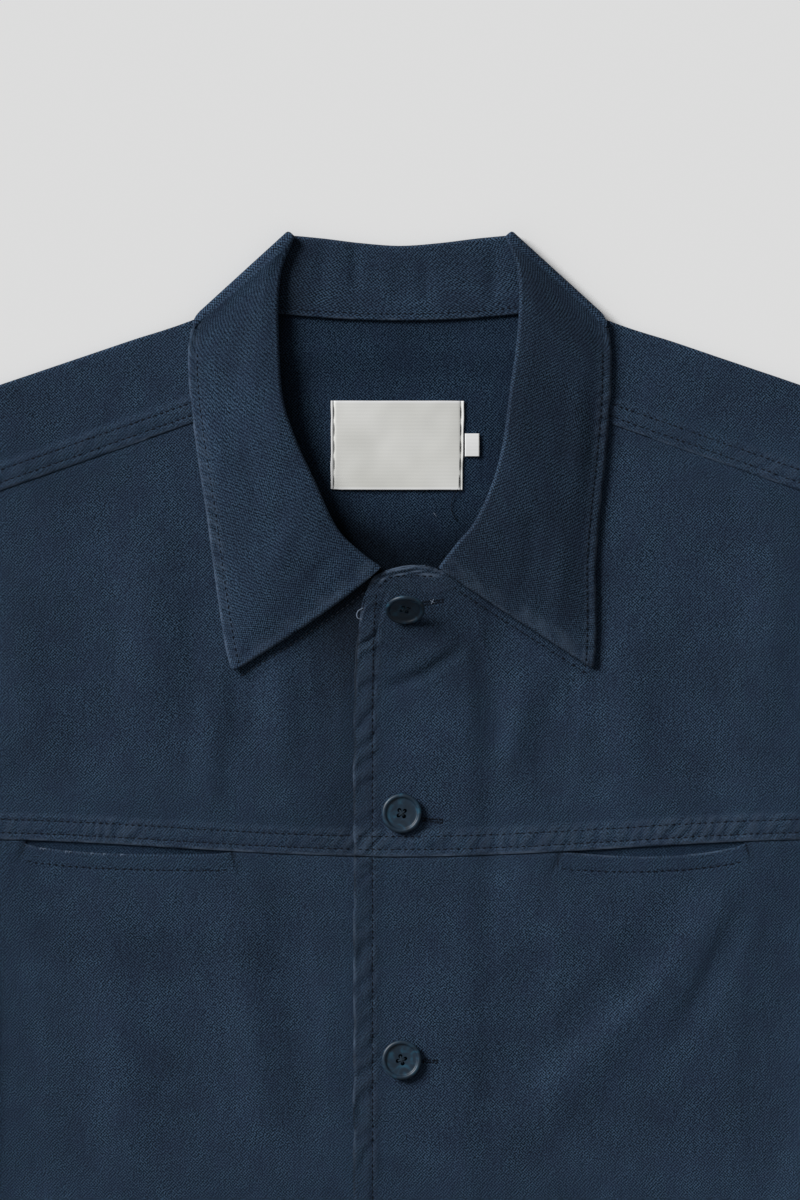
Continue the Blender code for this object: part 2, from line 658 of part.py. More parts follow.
def make_buttons():
    """Five buttons down the front; the first stands tilted in its buttonhole."""
    for number, (x, y, tilt) in enumerate(BUTTONS, start=1):
        piece = add_object(f"button_{number}", button_blank(), BUTTON_FINISH)
        cloth_top = front_height(x, y, "left") + CLOTH / 2
        lean = math.radians(tilt)
        lift = max(radius * math.sin(lean) - height * math.cos(lean) for radius, height in BUTTON_PROFILE)
        place = (x * MM, y * MM, (cloth_top + BUTTON_GAP + lift) * MM)
        piece.location = place
        piece.rotation_euler = (lean, 0.0, 0.0)
        holes = piece.modifiers.new("holes", "BOOLEAN")
        holes.operation = "DIFFERENCE"
        holes.object = hole_cutter(f"button_{number}_holes", place, tilt)


def main():
    for old in list(bpy.data.objects):
        bpy.data.objects.remove(old, do_unlink=True)
    make_back()
    start = (YOKE_NECK_END[0], YOKE_NECK_END[1] - SEAM_GAP)
    neck_under = [row[:2] for row in NECK_LINES["right"] if row[1] < start[1]]
    neck_over = [row[:2] for row in NECK_LINES["left"] if row[1] < start[1]]
    under_line = [(-start[0], start[1])] + neck_under + UNDER_NECK
    under_line.append((UNDER_EDGE_X, chest_y(UNDER_EDGE_X) + SEAM_GAP))
    over_line = [start] + neck_over + TOP_NECK + [(TOP_EDGE_X, chest_y(TOP_EDGE_X) + SEAM_GAP)]
    upper_front("right", under_line)
    upper_front("left", over_line)
    lower_front("right", UNDER_EDGE_X)
    lower_front("left", TOP_EDGE_X)
    for side in ("right", "left"):
        pocket_facing(side)
        sleeve(side)
    make_collar()
    flat_label("neck_label", LABEL, OFF_WHITE)
    flat_label("size_tab", SIZE_TAB, OFF_WHITE)
    make_buttons()


main()
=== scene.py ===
import math

import bpy
import numpy as np
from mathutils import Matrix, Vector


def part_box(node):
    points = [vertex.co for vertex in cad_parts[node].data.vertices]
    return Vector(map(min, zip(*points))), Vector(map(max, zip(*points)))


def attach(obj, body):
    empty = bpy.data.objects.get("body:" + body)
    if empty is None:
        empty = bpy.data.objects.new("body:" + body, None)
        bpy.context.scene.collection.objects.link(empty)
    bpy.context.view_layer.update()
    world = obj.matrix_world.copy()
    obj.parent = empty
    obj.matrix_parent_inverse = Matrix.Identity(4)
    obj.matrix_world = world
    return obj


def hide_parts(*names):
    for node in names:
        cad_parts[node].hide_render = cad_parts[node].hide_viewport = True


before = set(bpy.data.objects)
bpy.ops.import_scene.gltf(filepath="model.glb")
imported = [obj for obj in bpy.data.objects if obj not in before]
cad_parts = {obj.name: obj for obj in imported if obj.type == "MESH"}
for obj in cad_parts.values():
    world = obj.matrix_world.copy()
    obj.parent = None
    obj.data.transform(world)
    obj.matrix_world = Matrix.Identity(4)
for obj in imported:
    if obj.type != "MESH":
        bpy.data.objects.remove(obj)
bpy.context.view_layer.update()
mm = 0.001
signs = {"right": -1, "left": 1}             # where each of the wearer's sides lies along X
farAway = 99.0                               # stands for "no edge or seam near"

pattern = {                                  # the cut, laid flat; points are for the half on +X
    "neckPoint": (79.5, 332.6), "shoulderPoint": (250.0, 274.6), "underarm": (289.8, 77.9),
    "hemCorner": (287.0, -370.0), "backNeckLow": 326.8,
    "armholeShares": (0.0, 0.07, 0.14, 0.272, 0.42, 0.56, 0.69, 0.8, 0.9, 1.0), "armholeSweep": 1.6,
    "yokeSeamAt": 3, "yokeNeckEnd": (78.5, 283.0),
    "chestLow": 55.8, "chestRise": 8.8, "chestReach": 225.0,
    "cuffTop": (793.5, -2.3), "cuffUnder": (734.5, -118.1), "sleeveBow": 16.0, "bowEarly": 0.75,
    "frontEdge": {"left": -23.2, "right": 24.0},
}
levels = {                                   # heights of the cloth's middle above the table
    "back": 0.6, "front": 2.4, "lap": 1.5, "overPocket": 1.0, "shoulder": 0.8, "fall": 0.8, "backOverFall": 1.9,
    "neckPoint": 5.2, "neckSide": 5.3, "deepest": 0.7,
}
slopes = {                                   # place and width of each change of level; folds stay clear of edges
    "shoulder": 60.0, "pocket": (6.0, 22.0), "lap": (48.0, 15.0), "neck": 44.0, "fallTop": (294.0, 18.0),
    "fallSide": (138.0, 30.0), "clearStrip": (26.0, 22.0), "clearNeck": (30.0, 30.0), "clearHem": 30.0,
    "clearSide": (285.0, 30.0), "lapFolds": (60.0, 12.0),
}
folding = {                                  # how far a fold wanders over what size, its ends, and its strength
    "bend": 2.6, "bendSize": 34.0, "start": 0.06, "run": 0.88, "scale": 2.2,
    "unevenness": ((0.16, 27.0, 1), (0.08, 11.0, 2)),      # height, size and seed
}
cloth = {"body": 0.95, "collar": 1.45, "facing": 0.8}     # thicknesses


def softStep(value):
    value = np.clip(value, 0.0, 1.0)
    return value * value * (3.0 - 2.0 * value)


def within(away, reach):
    # 1 at a distance of 0, softly down to 0 at the reach
    return 1.0 - softStep(away / reach)


def crest(away, place, width):
    # 1 on a line, fading to both sides of it
    return np.exp(-((away - place) / width) ** 2)


def mix(first, second, share):
    return tuple(a + (b - a) * share for a, b in zip(first, second))


def heading(start, end):
    length = math.dist(start[:2], end[:2])
    return ((end[0] - start[0]) / length, (end[1] - start[1]) / length)


def lineLength(line):
    return sum(math.dist(a[:2], b[:2]) for a, b in zip(line, line[1:]))


def blend(p0, p1, p2, p3, t):
    # a smooth curve's value between the middle two of four
    leave, arrive, rise = (p2 - p0) / 2, (p3 - p1) / 2, p2 - p1
    return p1 + leave * t + (3 * rise - 2 * leave - arrive) * t * t + (leave + arrive - 2 * rise) * t ** 3


def curveAt(rows, share):
    # row of values on a smooth curve through the rows, at a share of its length in plan
    spans = [math.dist(a[:2], b[:2]) for a, b in zip(rows, rows[1:])]
    target = share * sum(spans)
    index = 0
    while index < len(spans) - 1 and target > spans[index]:
        target -= spans[index]
        index += 1
    t = min(target / spans[index], 1.0)
    before, after = rows[max(index - 1, 0)], rows[min(index + 2, len(rows) - 1)]
    return tuple(blend(*ends, t) for ends in zip(before, rows[index], rows[index + 1], after))


def nearestOn(x, y, line):
    # distance to a line in plan, the run along it, and the line's last value there
    away = np.full(np.shape(x), 1e6)
    run = np.zeros(np.shape(x))
    value = np.zeros(np.shape(x))
    done = 0.0
    for start, end in zip(line, line[1:]):
        dx, dy = end[0] - start[0], end[1] - start[1]
        length = math.hypot(dx, dy)
        t = np.clip(((x - start[0]) * dx + (y - start[1]) * dy) / length ** 2, 0.0, 1.0)
        here = np.hypot(x - start[0] - dx * t, y - start[1] - dy * t)
        closer = here < away
        away = np.where(closer, here, away)
        run = np.where(closer, done + length * t, run)
        value = np.where(closer, start[-1] + (end[-1] - start[-1]) * t, value)
        done += length
    return away, run, value


randomTable = np.random.default_rng(1865).uniform(-1.0, 1.0, (64, 64))


def softNoise(x, y, size, seed):
    # smooth uneven field between -1 and 1, with features of a size in mm
    gx, gy = np.asarray(x) / size + 17.3 * seed, np.asarray(y) / size + 5.7 * seed
    ix, iy = np.floor(gx).astype(int), np.floor(gy).astype(int)
    fx, fy = softStep(gx - ix), softStep(gy - iy)
    count = len(randomTable)
    a, b = (randomTable[(ix + step) % count, iy % count] for step in (0, 1))
    c, d = (randomTable[(ix + step) % count, (iy + 1) % count] for step in (0, 1))
    return (a + (b - a) * fx) * (1 - fy) + (c + (d - c) * fx) * fy


def lineNoise(run, size, seed):
    return softNoise(run, run * 0.0, size, seed)


def chestY(x):
    # the chest seam; this and the lines below are the same as the frame's
    reach = np.minimum(np.abs(x) / pattern["chestReach"], 1.0)
    return pattern["chestLow"] + pattern["chestRise"] * np.sin(math.pi / 2 * reach) ** 2


def makeArmhole():
    top, low = pattern["shoulderPoint"], pattern["underarm"]
    return [(top[0] + (low[0] - top[0]) * share ** pattern["armholeSweep"], top[1] + (low[1] - top[1]) * share)
            for share in pattern["armholeShares"]]


armhole = makeArmhole()
yokeSeam = (pattern["yokeNeckEnd"], armhole[pattern["yokeSeamAt"]])


def backNeckY(x):
    low, side = pattern["backNeckLow"], pattern["neckPoint"]
    return low + (side[1] - low) * (np.abs(x) / side[0]) ** 2


def shoulderY(x):
    neck, tip = pattern["neckPoint"], pattern["shoulderPoint"]
    return neck[1] + (tip[1] - neck[1]) / (tip[0] - neck[0]) * (np.abs(x) - neck[0])


collar = {
    "columns": ("rollX", "rollY", "rollZ", "neckX", "neckY", "edgeX", "edgeY", "edgeZ", "bow"),
    "right": [                                # from the front end up to the shoulder
        (-9.6, 201.6, 5.0, -13.5, 198.0, -84.2, 148.7, 5.6, 5.4),
        (-20.2, 209.4, 6.6, -24.0, 203.0, -87.0, 160.0, 5.6, 3.0),
        (-31.8, 221.5, 8.6, -40.0, 215.0, -89.4, 174.0, 5.5, 1.5),
        (-43.0, 245.2, 10.2, -57.0, 236.0, -93.4, 202.0, 5.3, 0.0),
        (-52.2, 265.4, 10.9, -69.0, 258.0, -96.8, 228.0, 5.3, 0.0),
        (-58.5, 285.5, 11.0, -77.0, 279.0, -100.6, 252.0, 5.6, 0.0),
        (-60.5, 310.7, 10.4, -81.0, 300.0, -104.8, 284.0, 6.2, 0.0),
        (-60.9, 333.9, 8.8, -82.0, 315.0, -106.0, 303.0, 6.6, 0.0),
        (-59.4, 350.0, 7.3, -81.2, 323.0, -105.6, 314.0, 6.9, 0.0),
        (-55.4, 361.0, 6.9, -80.4, 328.4, -104.2, 320.8, 7.4, 0.0),
    ],
    "left": [
        (19.2, 201.2, 5.9, 23.0, 197.4, 97.3, 150.4, 5.8, 0.6),
        (28.5, 213.4, 7.2, 32.0, 208.0, 98.0, 162.0, 5.8, 0.0),
        (37.6, 224.5, 8.9, 45.0, 218.5, 98.3, 176.0, 5.6, 0.0),
        (46.8, 245.2, 10.3, 60.0, 237.0, 98.0, 202.0, 5.4, 0.0),
        (51.8, 265.4, 10.9, 70.0, 258.0, 100.2, 230.0, 5.4, 0.0),
        (54.8, 288.5, 11.0, 77.0, 279.0, 102.8, 254.0, 5.6, 0.0),
        (58.0, 310.7, 10.4, 81.0, 300.0, 105.3, 284.0, 6.2, 0.0),
        (59.7, 332.4, 8.8, 82.0, 315.0, 105.8, 303.0, 6.6, 0.0),
        (59.0, 350.0, 7.3, 81.2, 323.0, 105.4, 314.0, 6.9, 0.0),
        (55.4, 361.0, 6.9, 80.4, 328.4, 104.2, 320.8, 7.4, 0.0),
    ],
    "rollRadius": 1.3, "standRadius": 1.05,   # at the roll line, and of the stand round each shoulder
    "peak": (54.5, 366.2), "peakNeck": (78.0, 334.5), "peakEdge": (101.2, 323.6), "wrapShares": (0.90, 0.145),
    "back": [(38.0, 364.6, 54.0, 72.0, 321.5), (20.0, 362.4, 27.0, 37.0, 318.8), (0.0, 361.0, 0.0, 0.0, 317.5)],
    "topstitch": 4.2, "cornerRadius": 3.0,
}


def makeNeckLine(side):
    # where a front meets the collar, with its height, from the neck point to the front end
    endLevel = levels["front"] + (0.0 if side == "right" else levels["lap"])
    rows = [(signs[side] * pattern["neckPoint"][0], pattern["neckPoint"][1], levels["neckPoint"])]
    for index in range(len(collar[side]) - 1, -1, -1):
        row = dict(zip(collar["columns"], collar[side][index]))
        rise = (levels["neckSide"] - endLevel) * float(softStep(index / 4))
        rows.append((row["neckX"], row["neckY"], endLevel + rise))
    return rows


neckLines = {side: makeNeckLine(side) for side in signs}
pocket = {
    "right": (-188.6, -84.7), "left": (80.6, 173.9),      # x of the two ends of each mouth
    "gap": {                                  # shares along the mouth, and how far the lip hangs open there
        "right": ([0.0, 0.06, 0.2, 0.35, 0.5, 0.67, 0.85, 0.95, 1.0], [2.4, 4.0, 5.2, 5.6, 5.3, 4.5, 3.2, 2.2, 0.8]),
        "left": ([0.0, 0.1, 0.25, 0.45, 0.65, 0.82, 0.94, 1.0], [0.4, 2.0, 4.0, 5.8, 6.2, 5.2, 3.6, 1.8]),
    },
    "gapReach": 26.0,                         # how far down the front follows the open lip
    "below": 34.0, "above": 8.0, "past": 10.0,       # the lining's reach round the mouth
    "liningLevel": 2.0, "liningRise": 0.7,
    "lipStitch": 8.6, "lipTrough": 0.24, "lipUneven": 0.12, "lipWave": 0.07, "lipPitch": 11.0,
    "tackLean": 0.35, "tackHalf": 1.5, "tackDepth": 0.42, "tackShade": 0.4, "tackReach": 7.0,
}
creases = [                                   # points along each soft fold of the fronts, height, half width
    ([(-63, 168), (-59, 128), (-57, 95)], 0.8, 13), ([(-80, 150), (-76, 108)], -0.7, 10),
    ([(-40, 190), (-37, 150), (-36, 96)], -0.8, 9), ([(-92, 146), (-98, 100), (-96, 72)], 0.6, 12),
    ([(-130, 222), (-126, 190), (-122, 120)], 0.8, 22), ([(-100, 190), (-96, 150)], -0.5, 14),
    ([(-160, 236), (-150, 150), (-158, 90)], -0.6, 20), ([(-196, 200), (-186, 110)], 0.6, 20),
    ([(113, 172), (116, 130), (114, 84)], 0.8, 20), ([(82.7, 152), (75, 82)], -0.9, 12),
    ([(62, 150), (56, 98)], 0.7, 11), ([(160, 226), (150, 140), (158, 88)], -0.6, 22),
    ([(190, 210), (182, 120)], 0.6, 20), ([(38, 176), (46, 128), (40, 92)], -0.5, 12),
    ([(171, 40), (128.5, -14), (86, -58), (42, -103)], 0.8, 24), ([(150, 44), (112, -8), (70, -48)], -0.8, 16),
    ([(176, 36), (158, -4), (140, -40)], -0.7, 10), ([(66, 30), (62, -30), (70, -90)], -0.6, 16),
    ([(-61.5, 50), (-55, 12), (-47.4, -24), (-44, -80)], -1.1, 12), ([(-84, 40), (-76, -20), (-66, -90)], 0.9, 18),
    ([(-205, 36), (-193, -30), (-190, -150)], -1.0, 15), ([(-232, 70), (-212, -10), (-214, -110)], 0.9, 22),
    ([(-150, 30), (-138, -60), (-142, -130)], 0.6, 22), ([(-112, 20), (-104, -70)], -0.5, 16),
    ([(24.4, 36), (25.2, 0), (24.2, -34)], -0.7, 6), ([(196, 40), (186, -30), (190, -120)], -0.7, 18),
    ([(215, -60), (190, -230)], 1.0, 28), ([(-150, -140), (-95, -290)], 1.0, 26),
    ([(110, -180), (90, -330)], 0.8, 24), ([(-240, 90), (-180, 20)], 0.6, 22),
]
lapCreases = [                                # sharper ones that also cross the buttoned strip
    ([(-13, 141.5), (-4, 143.5), (13.6, 147.5), (31.8, 157), (38.5, 173)], -0.7, 4.2),
    ([(-12, 149), (12, 154), (27, 162)], 0.4, 6.0), ([(14, 176), (30, 172), (36, 160)], -0.5, 6.0),
    ([(-22, 160), (-13, 165)], -0.4, 2.4), ([(-22, 86), (-13, 84)], -0.45, 3.0), ([(-20, 50), (-10, 46)], -0.4, 3.0),
    ([(26, 186), (36, 176), (42, 150)], -0.5, 5.0),
    ([(10, 62), (24, 68)], 0.3, 5.0), ([(-8, 120), (12, 112)], -0.25, 7.0), ([(-6, -20), (16, -30)], -0.25, 7.0),
]


def mouthGap(x, side):
    x0, x1 = pocket[side]
    shares, gaps = pocket["gap"][side]
    return np.interp(x, [x0 + (x1 - x0) * share for share in shares], gaps)


def inMouth(x, side):
    # 1 between the ends of a pocket mouth
    x0, x1 = pocket[side]
    return softStep((x - x0 + 1.0) / 2.0) * softStep((x1 + 1.0 - x) / 2.0)


def foldHeight(x, y, rows):
    total = np.zeros(np.shape(x))
    bentX, bentY = (values + folding["bend"] * softNoise(x, y, folding["bendSize"], seed)
                    for values, seed in ((x, 3), (y, 4)))
    for line, height, halfWidth in rows:
        away, run, _ = nearestOn(bentX, bentY, line)
        fade = np.sin(math.pi * (folding["start"] + folding["run"] * run / lineLength(line)))
        total += height * within(away, halfWidth) * fade
    return total * folding["scale"]


def beyond(value, slope):
    # 0 up to a slope's place, 1 past its width
    place, width = slope
    return softStep((value - place) / width)


def short(value, slope):
    # 1 well short of a slope's place, 0 from there on
    place, width = slope
    return softStep((place - value) / width)


def frontLevel(x, y, side):
    # middle of the front layer: the two fronts and the shoulder that comes over to them
    level = levels["front"] + levels["shoulder"] * within(shoulderY(x) - y, slopes["shoulder"])
    for name in signs:
        x0, x1 = pocket[name]
        seam = chestY(x)
        beside = np.maximum.reduce([x0 - pocket["past"] - x, x - x1 - pocket["past"],
                                    y - seam - pocket["above"], seam - pocket["below"] - y])
        level = level + levels["overPocket"] * (1.0 - beyond(beside, slopes["pocket"]))
    if side == "left":
        level = level + levels["lap"] * short(x, slopes["lap"])
    away, _, neckLevel = nearestOn(x, y, neckLines[side])
    level = level + (neckLevel - level) * within(away, slopes["neck"])
    clear = beyond(np.abs(x), slopes["clearStrip"]) * beyond(away, slopes["clearNeck"])
    clear = clear * softStep((y - pattern["hemCorner"][1]) / slopes["clearHem"])
    clear = clear * short(np.abs(x), slopes["clearSide"])
    soft = foldHeight(x, y, creases) * clear
    for height, size, seed in folding["unevenness"]:
        soft = soft + height * softNoise(x, y, size, seed)
    if side == "left":
        soft = soft + foldHeight(x, y, lapCreases) * short(x, slopes["lapFolds"])
    deepest = levels["deepest"]               # a trough never reaches the cloth below
    return level + np.where(soft < 0.0, -deepest * np.tanh(-soft / deepest), soft)


def backLevel(x, y):
    overFall = beyond(y, slopes["fallTop"]) * short(np.abs(x), slopes["fallSide"])
    return levels["back"] + levels["backOverFall"] * overFall


def srgb(hexColour):
    # an sRGB hex colour as a linear one
    values = [int(hexColour[i:i + 2], 16) / 255 for i in (1, 3, 5)]
    return (*[v / 12.92 if v <= 0.04045 else ((v + 0.055) / 1.055) ** 2.4 for v in values], 1.0)


def addNode(tree, kind, settings=None, links=None, stops=()):
    # one node: settings by property or socket, links as socket: (node, output), a ramp's stops as (place, colour)
    node = tree.nodes.new(kind)
    for name, value in (settings or {}).items():
        if isinstance(name, str) and hasattr(node, name):
            setattr(node, name, value)
        else:
            node.inputs[name].default_value = value
    for socket, (other, output) in (links or {}).items():
        tree.links.new(other.outputs[output], node.inputs[socket])
    for number, (place, colour) in enumerate(stops):
        stop = node.color_ramp.elements[number] if number < 2 else node.color_ramp.elements.new(place)
        stop.position, stop.color = place, srgb(colour)
    return node


def newMaterial(name, colour, roughness, specular, ior=1.5):
    material = bpy.data.materials.new(name)
    material.use_nodes = True
    material.diffuse_color = srgb(colour)
    shader = material.node_tree.nodes["Principled BSDF"]
    for socket, value in (("Base Color", srgb(colour)), ("Roughness", roughness), ("IOR", ior),
                          ("Specular IOR Level", specular)):
        shader.inputs[socket].default_value = value
    return material, material.node_tree, shader


twill = {
    "colour": "#18293a", "deep": "#040a14", "light": "#3a4f65", "plum": "#1d263a", "worn": "#516074",
    "wale": 1.05,                             # mm; the real wale is about 0.8, drawn coarser so that it shows
    "slant": 47.0, "crossing": 0.86,          # degrees from the grain, and the picks' pitch against the wale's
    "yarn": 0.8,                              # mm between slubs along a yarn
    "cloudSize": 14.0,                        # mm, patches where the garment dye took unevenly
    "fadeSize": 46.0,                         # mm, broad areas that have faded more or less
}


def makeTwill(name, side=1.0, shade=1.0, seed=0.0, shine=0.1, fade=0.12):
    # Cotton twill, woven, sewn and garment-dyed: a matte diagonal rib with cloudy dye, paler on worn edges.
    material, tree, shader = newMaterial(name, twill["colour"], 0.86, shine)
    grain = addNode(tree, "ShaderNodeUVMap", {"uv_map": "grain"})
    turned = addNode(tree, "ShaderNodeMapping", {"Rotation": (0.0, 0.0, math.radians(-twill["slant"] * side)),
                                                 "Location": (seed, seed * 0.7, 0.0)}, {"Vector": (grain, "UV")})
    streaks = addNode(tree, "ShaderNodeMapping", {"Scale": (1.0, 0.12, 1.0)}, {"Vector": (grain, "UV")})
    straight, slanted, streaky = (grain, "UV"), (turned, "Vector"), (streaks, "Vector")
    waleScale = math.pi / 10 / (twill["wale"] * mm)
    rib = addNode(tree, "ShaderNodeTexWave", {"wave_type": "BANDS", "bands_direction": "X", "Scale": waleScale,
                                              "Distortion": 2.4, "Detail": 2.0, "Detail Scale": 2.4,
                                              "Detail Roughness": 0.65}, {"Vector": slanted})
    crossing = addNode(tree, "ShaderNodeTexWave", {"wave_type": "BANDS", "bands_direction": "Y",
                                                   "Scale": waleScale * twill["crossing"], "Distortion": 3.2,
                                                   "Detail": 2.0, "Detail Scale": 2.0}, {"Vector": slanted})
    noise, spread = {}, {}
    for label, scale, detail, roughness, place, ends in (
            ("slubs", 1 / (twill["yarn"] * mm), 2.0, 0.6, slanted, None),
            ("clouds", 1 / (twill["cloudSize"] * mm), 4.0, 0.6, slanted, (0.36, 0.64, 0.0, 0.42)),
            ("warpLines", 620.0, 2.0, 0.5, streaky, (0.3, 0.7, 0.90 * shade, 1.10 * shade)),
            ("fading", 1 / (twill["fadeSize"] * mm), 3.0, 0.55, slanted, (0.3, 0.7, 1.0 - fade, 1.0 + fade)),
            ("rub", 420.0, 3.0, 0.7, straight, (0.34, 0.66, 0.15, 0.8)),
            ("rubPatches", 110.0, 2.0, 0.5, straight, (0.38, 0.62, 0.04, 1.0))):
        settings = {"Scale": scale, "Detail": detail, "Roughness": roughness}
        noise[label] = addNode(tree, "ShaderNodeTexNoise", settings, {"Vector": place})
        if ends:
            limits = dict(zip(("From Min", "From Max", "To Min", "To Max"), ends))
            spread[label] = addNode(tree, "ShaderNodeMapRange", limits, {"Value": (noise[label], "Fac")})
    picks = addNode(tree, "ShaderNodeMath", {"operation": "MULTIPLY_ADD", 1: 0.2},
                    {0: (crossing, "Fac"), 2: (noise["slubs"], "Fac")})
    weave = addNode(tree, "ShaderNodeMath", {"operation": "MULTIPLY_ADD", 1: 0.24},
                    {0: (rib, "Fac"), 2: (picks, "Value")})
    weaveTone = addNode(tree, "ShaderNodeValToRGB", {}, {"Fac": (weave, "Value")},
                        ((0.595, twill["deep"]), (0.86, twill["light"]), (0.72, twill["colour"])))
    dyed = addNode(tree, "ShaderNodeMix", {"data_type": "RGBA", "blend_type": "MIX", 7: srgb(twill["plum"])},
                   {0: (spread["clouds"], "Result"), 6: (weaveTone, "Color")})
    evenness = addNode(tree, "ShaderNodeMath", {"operation": "MULTIPLY"},
                       {0: (spread["warpLines"], "Result"), 1: (spread["fading"], "Result")})
    lined = addNode(tree, "ShaderNodeVectorMath", {"operation": "SCALE"},
                    {0: (dyed, 2), "Scale": (evenness, "Value")})
    # paler where the cloth has rubbed: a thin line on each folded edge, and the tops of the puckers
    edge = addNode(tree, "ShaderNodeAttribute", {"attribute_name": "edge"})
    edgeLine = addNode(tree, "ShaderNodeMapRange", {"interpolation_type": "SMOOTHSTEP", "From Min": 1.5,
                                                    "From Max": 0.1}, {"Value": (edge, "Fac")})
    patchyRub = addNode(tree, "ShaderNodeMath", {"operation": "MULTIPLY"},
                        {0: (spread["rubPatches"], "Result"), 1: (spread["rub"], "Result")})
    edgeRub = addNode(tree, "ShaderNodeMath", {"operation": "MULTIPLY"},
                      {0: (edgeLine, "Result"), 1: (patchyRub, "Value")})
    rubbed = addNode(tree, "ShaderNodeAttribute", {"attribute_name": "rubbed"})
    wholeRub = addNode(tree, "ShaderNodeMath", {"operation": "ADD", "use_clamp": True},
                       {0: (edgeRub, "Value"), 1: (rubbed, "Fac")})
    paled = addNode(tree, "ShaderNodeMix", {"data_type": "RGBA", "blend_type": "MIX", 7: srgb(twill["worn"])},
                    {0: (wholeRub, "Value"), 6: (lined, "Vector")})
    # painted shade, read from each point: darker under the collar, inside the neck and in other places the light hardly
    # reaches
    paintedShade = addNode(tree, "ShaderNodeAttribute", {"attribute_name": "paintedShade"})
    paintedShadeTone = addNode(tree, "ShaderNodeMapRange", {"To Min": 1.0, "To Max": 0.15}, {"Value": (paintedShade, "Fac")})
    toned = addNode(tree, "ShaderNodeVectorMath", {"operation": "SCALE"},
                    {0: (paled, 2), "Scale": (paintedShadeTone, "Result")})
    tree.links.new(toned.outputs[0], shader.inputs["Base Color"])
    bump = addNode(tree, "ShaderNodeBump", {"Strength": 0.5, "Distance": 0.2 * mm}, {"Height": (weave, "Value")})
    tree.links.new(bump.outputs["Normal"], shader.inputs["Normal"])
    return material


def makeThread(name, colour):
    # Spun polyester thread, twisted: fine slanted plies that catch a little light.
    material, tree, shader = newMaterial(name, colour, 0.75, 0.12)
    place = addNode(tree, "ShaderNodeTexCoord")
    plies = addNode(tree, "ShaderNodeTexWave", {"bands_direction": "DIAGONAL", "Scale": 420.0, "Distortion": 1.0},
                    {"Vector": (place, "Object")})
    bump = addNode(tree, "ShaderNodeBump", {"Strength": 0.3, "Distance": 0.05 * mm}, {"Height": (plies, "Fac")})
    tree.links.new(bump.outputs["Normal"], shader.inputs["Normal"])
    return material


def makeLabelTape():
    # Woven satin label tape, heat-cut and folded: fine cross ribs, faintly mottled, with a soft shine, and a painted
    # highlight along its folded edges.
    material, tree, shader = newMaterial("wovenSatinTape", "#d0d0cc", 0.62, 0.35)
    grain = addNode(tree, "ShaderNodeUVMap", {"uv_map": "grain"})
    ribs = addNode(tree, "ShaderNodeTexWave", {"bands_direction": "Y", "Scale": math.pi / 10 / (0.7 * mm),
                                               "Distortion": 0.5}, {"Vector": (grain, "UV")})
    patches = addNode(tree, "ShaderNodeTexNoise", {"Scale": 24.0, "Detail": 2.0}, {"Vector": (grain, "UV")})
    tone = addNode(tree, "ShaderNodeValToRGB", {}, {"Fac": (patches, "Fac")}, ((0.3, "#c1c1bc"), (0.7, "#d3d3d0")))
    # painted highlight: paler towards the folded edges
    edge = addNode(tree, "ShaderNodeAttribute", {"attribute_name": "edge"})
    fold = addNode(tree, "ShaderNodeMapRange", {"From Min": 1.6, "From Max": 0.2, "To Max": 0.6},
                   {"Value": (edge, "Fac")})
    lit = addNode(tree, "ShaderNodeMix", {"data_type": "RGBA", 7: srgb("#e6e7ea")},
                  {0: (fold, "Result"), 6: (tone, "Color")})
    tree.links.new(lit.outputs[2], shader.inputs["Base Color"])
    bump = addNode(tree, "ShaderNodeBump", {"Strength": 0.25, "Distance": 0.1 * mm}, {"Height": (ribs, "Fac")})
    tree.links.new(bump.outputs["Normal"], shader.inputs["Normal"])
    return material


def makeButtonResin():
    # Urea resin, moulded, tumbled and dyed: a smooth satin face with faint clouds of blue-green and brown.
    material, tree, shader = newMaterial("dyedUreaResin", "#1a2c38", 0.34, 0.38, ior=1.55)
    place = addNode(tree, "ShaderNodeTexCoord")
    clouds = addNode(tree, "ShaderNodeTexNoise", {"Scale": 130.0, "Detail": 3.0, "Distortion": 1.2},
                     {"Vector": (place, "Object")})
    tone = addNode(tree, "ShaderNodeValToRGB", {}, {"Fac": (clouds, "Fac")},
                   ((0.36, "#0f212f"), (0.66, "#1c4256"), (0.52, "#162a3a")))
    tree.links.new(tone.outputs["Color"], shader.inputs["Base Color"])
    scuffs = addNode(tree, "ShaderNodeTexNoise", {"Scale": 900.0, "Detail": 2.0}, {"Vector": (place, "Object")})
    rough = addNode(tree, "ShaderNodeMapRange", {"To Min": 0.36, "To Max": 0.54}, {"Value": (scuffs, "Fac")})
    tree.links.new(rough.outputs["Result"], shader.inputs["Roughness"])
    return material


bodyTwill = makeTwill("garmentDyedTwill")
collarTwill = makeTwill("garmentDyedTwillCollar", shade=1.02, seed=0.31, fade=0.19)
# the inside copy is a little darker: painted shade for the inside of the neck and the pocket linings
insideTwill = makeTwill("garmentDyedTwillInside", side=-1.0, shade=0.95, seed=0.57, shine=0.03)
# the sewing thread is drawn near black: its own navy, and painted shade of the stitch holes
sewingThread = makeThread("spunPolyesterNavy", "#080f19")
looseThread = makeThread("spunPolyesterDark", "#070c13")
paleThread = makeThread("rubbedCottonFluff", "#6d7a8c")
labelTape = makeLabelTape()
buttonResin = makeButtonResin()
print("materials are ready")


# the cloth's wear, and its painted shade, at each point
wearAndShadeLabels = ("edge", "rubbed", "paintedShade")      # values at each point that the cloth's colour reads


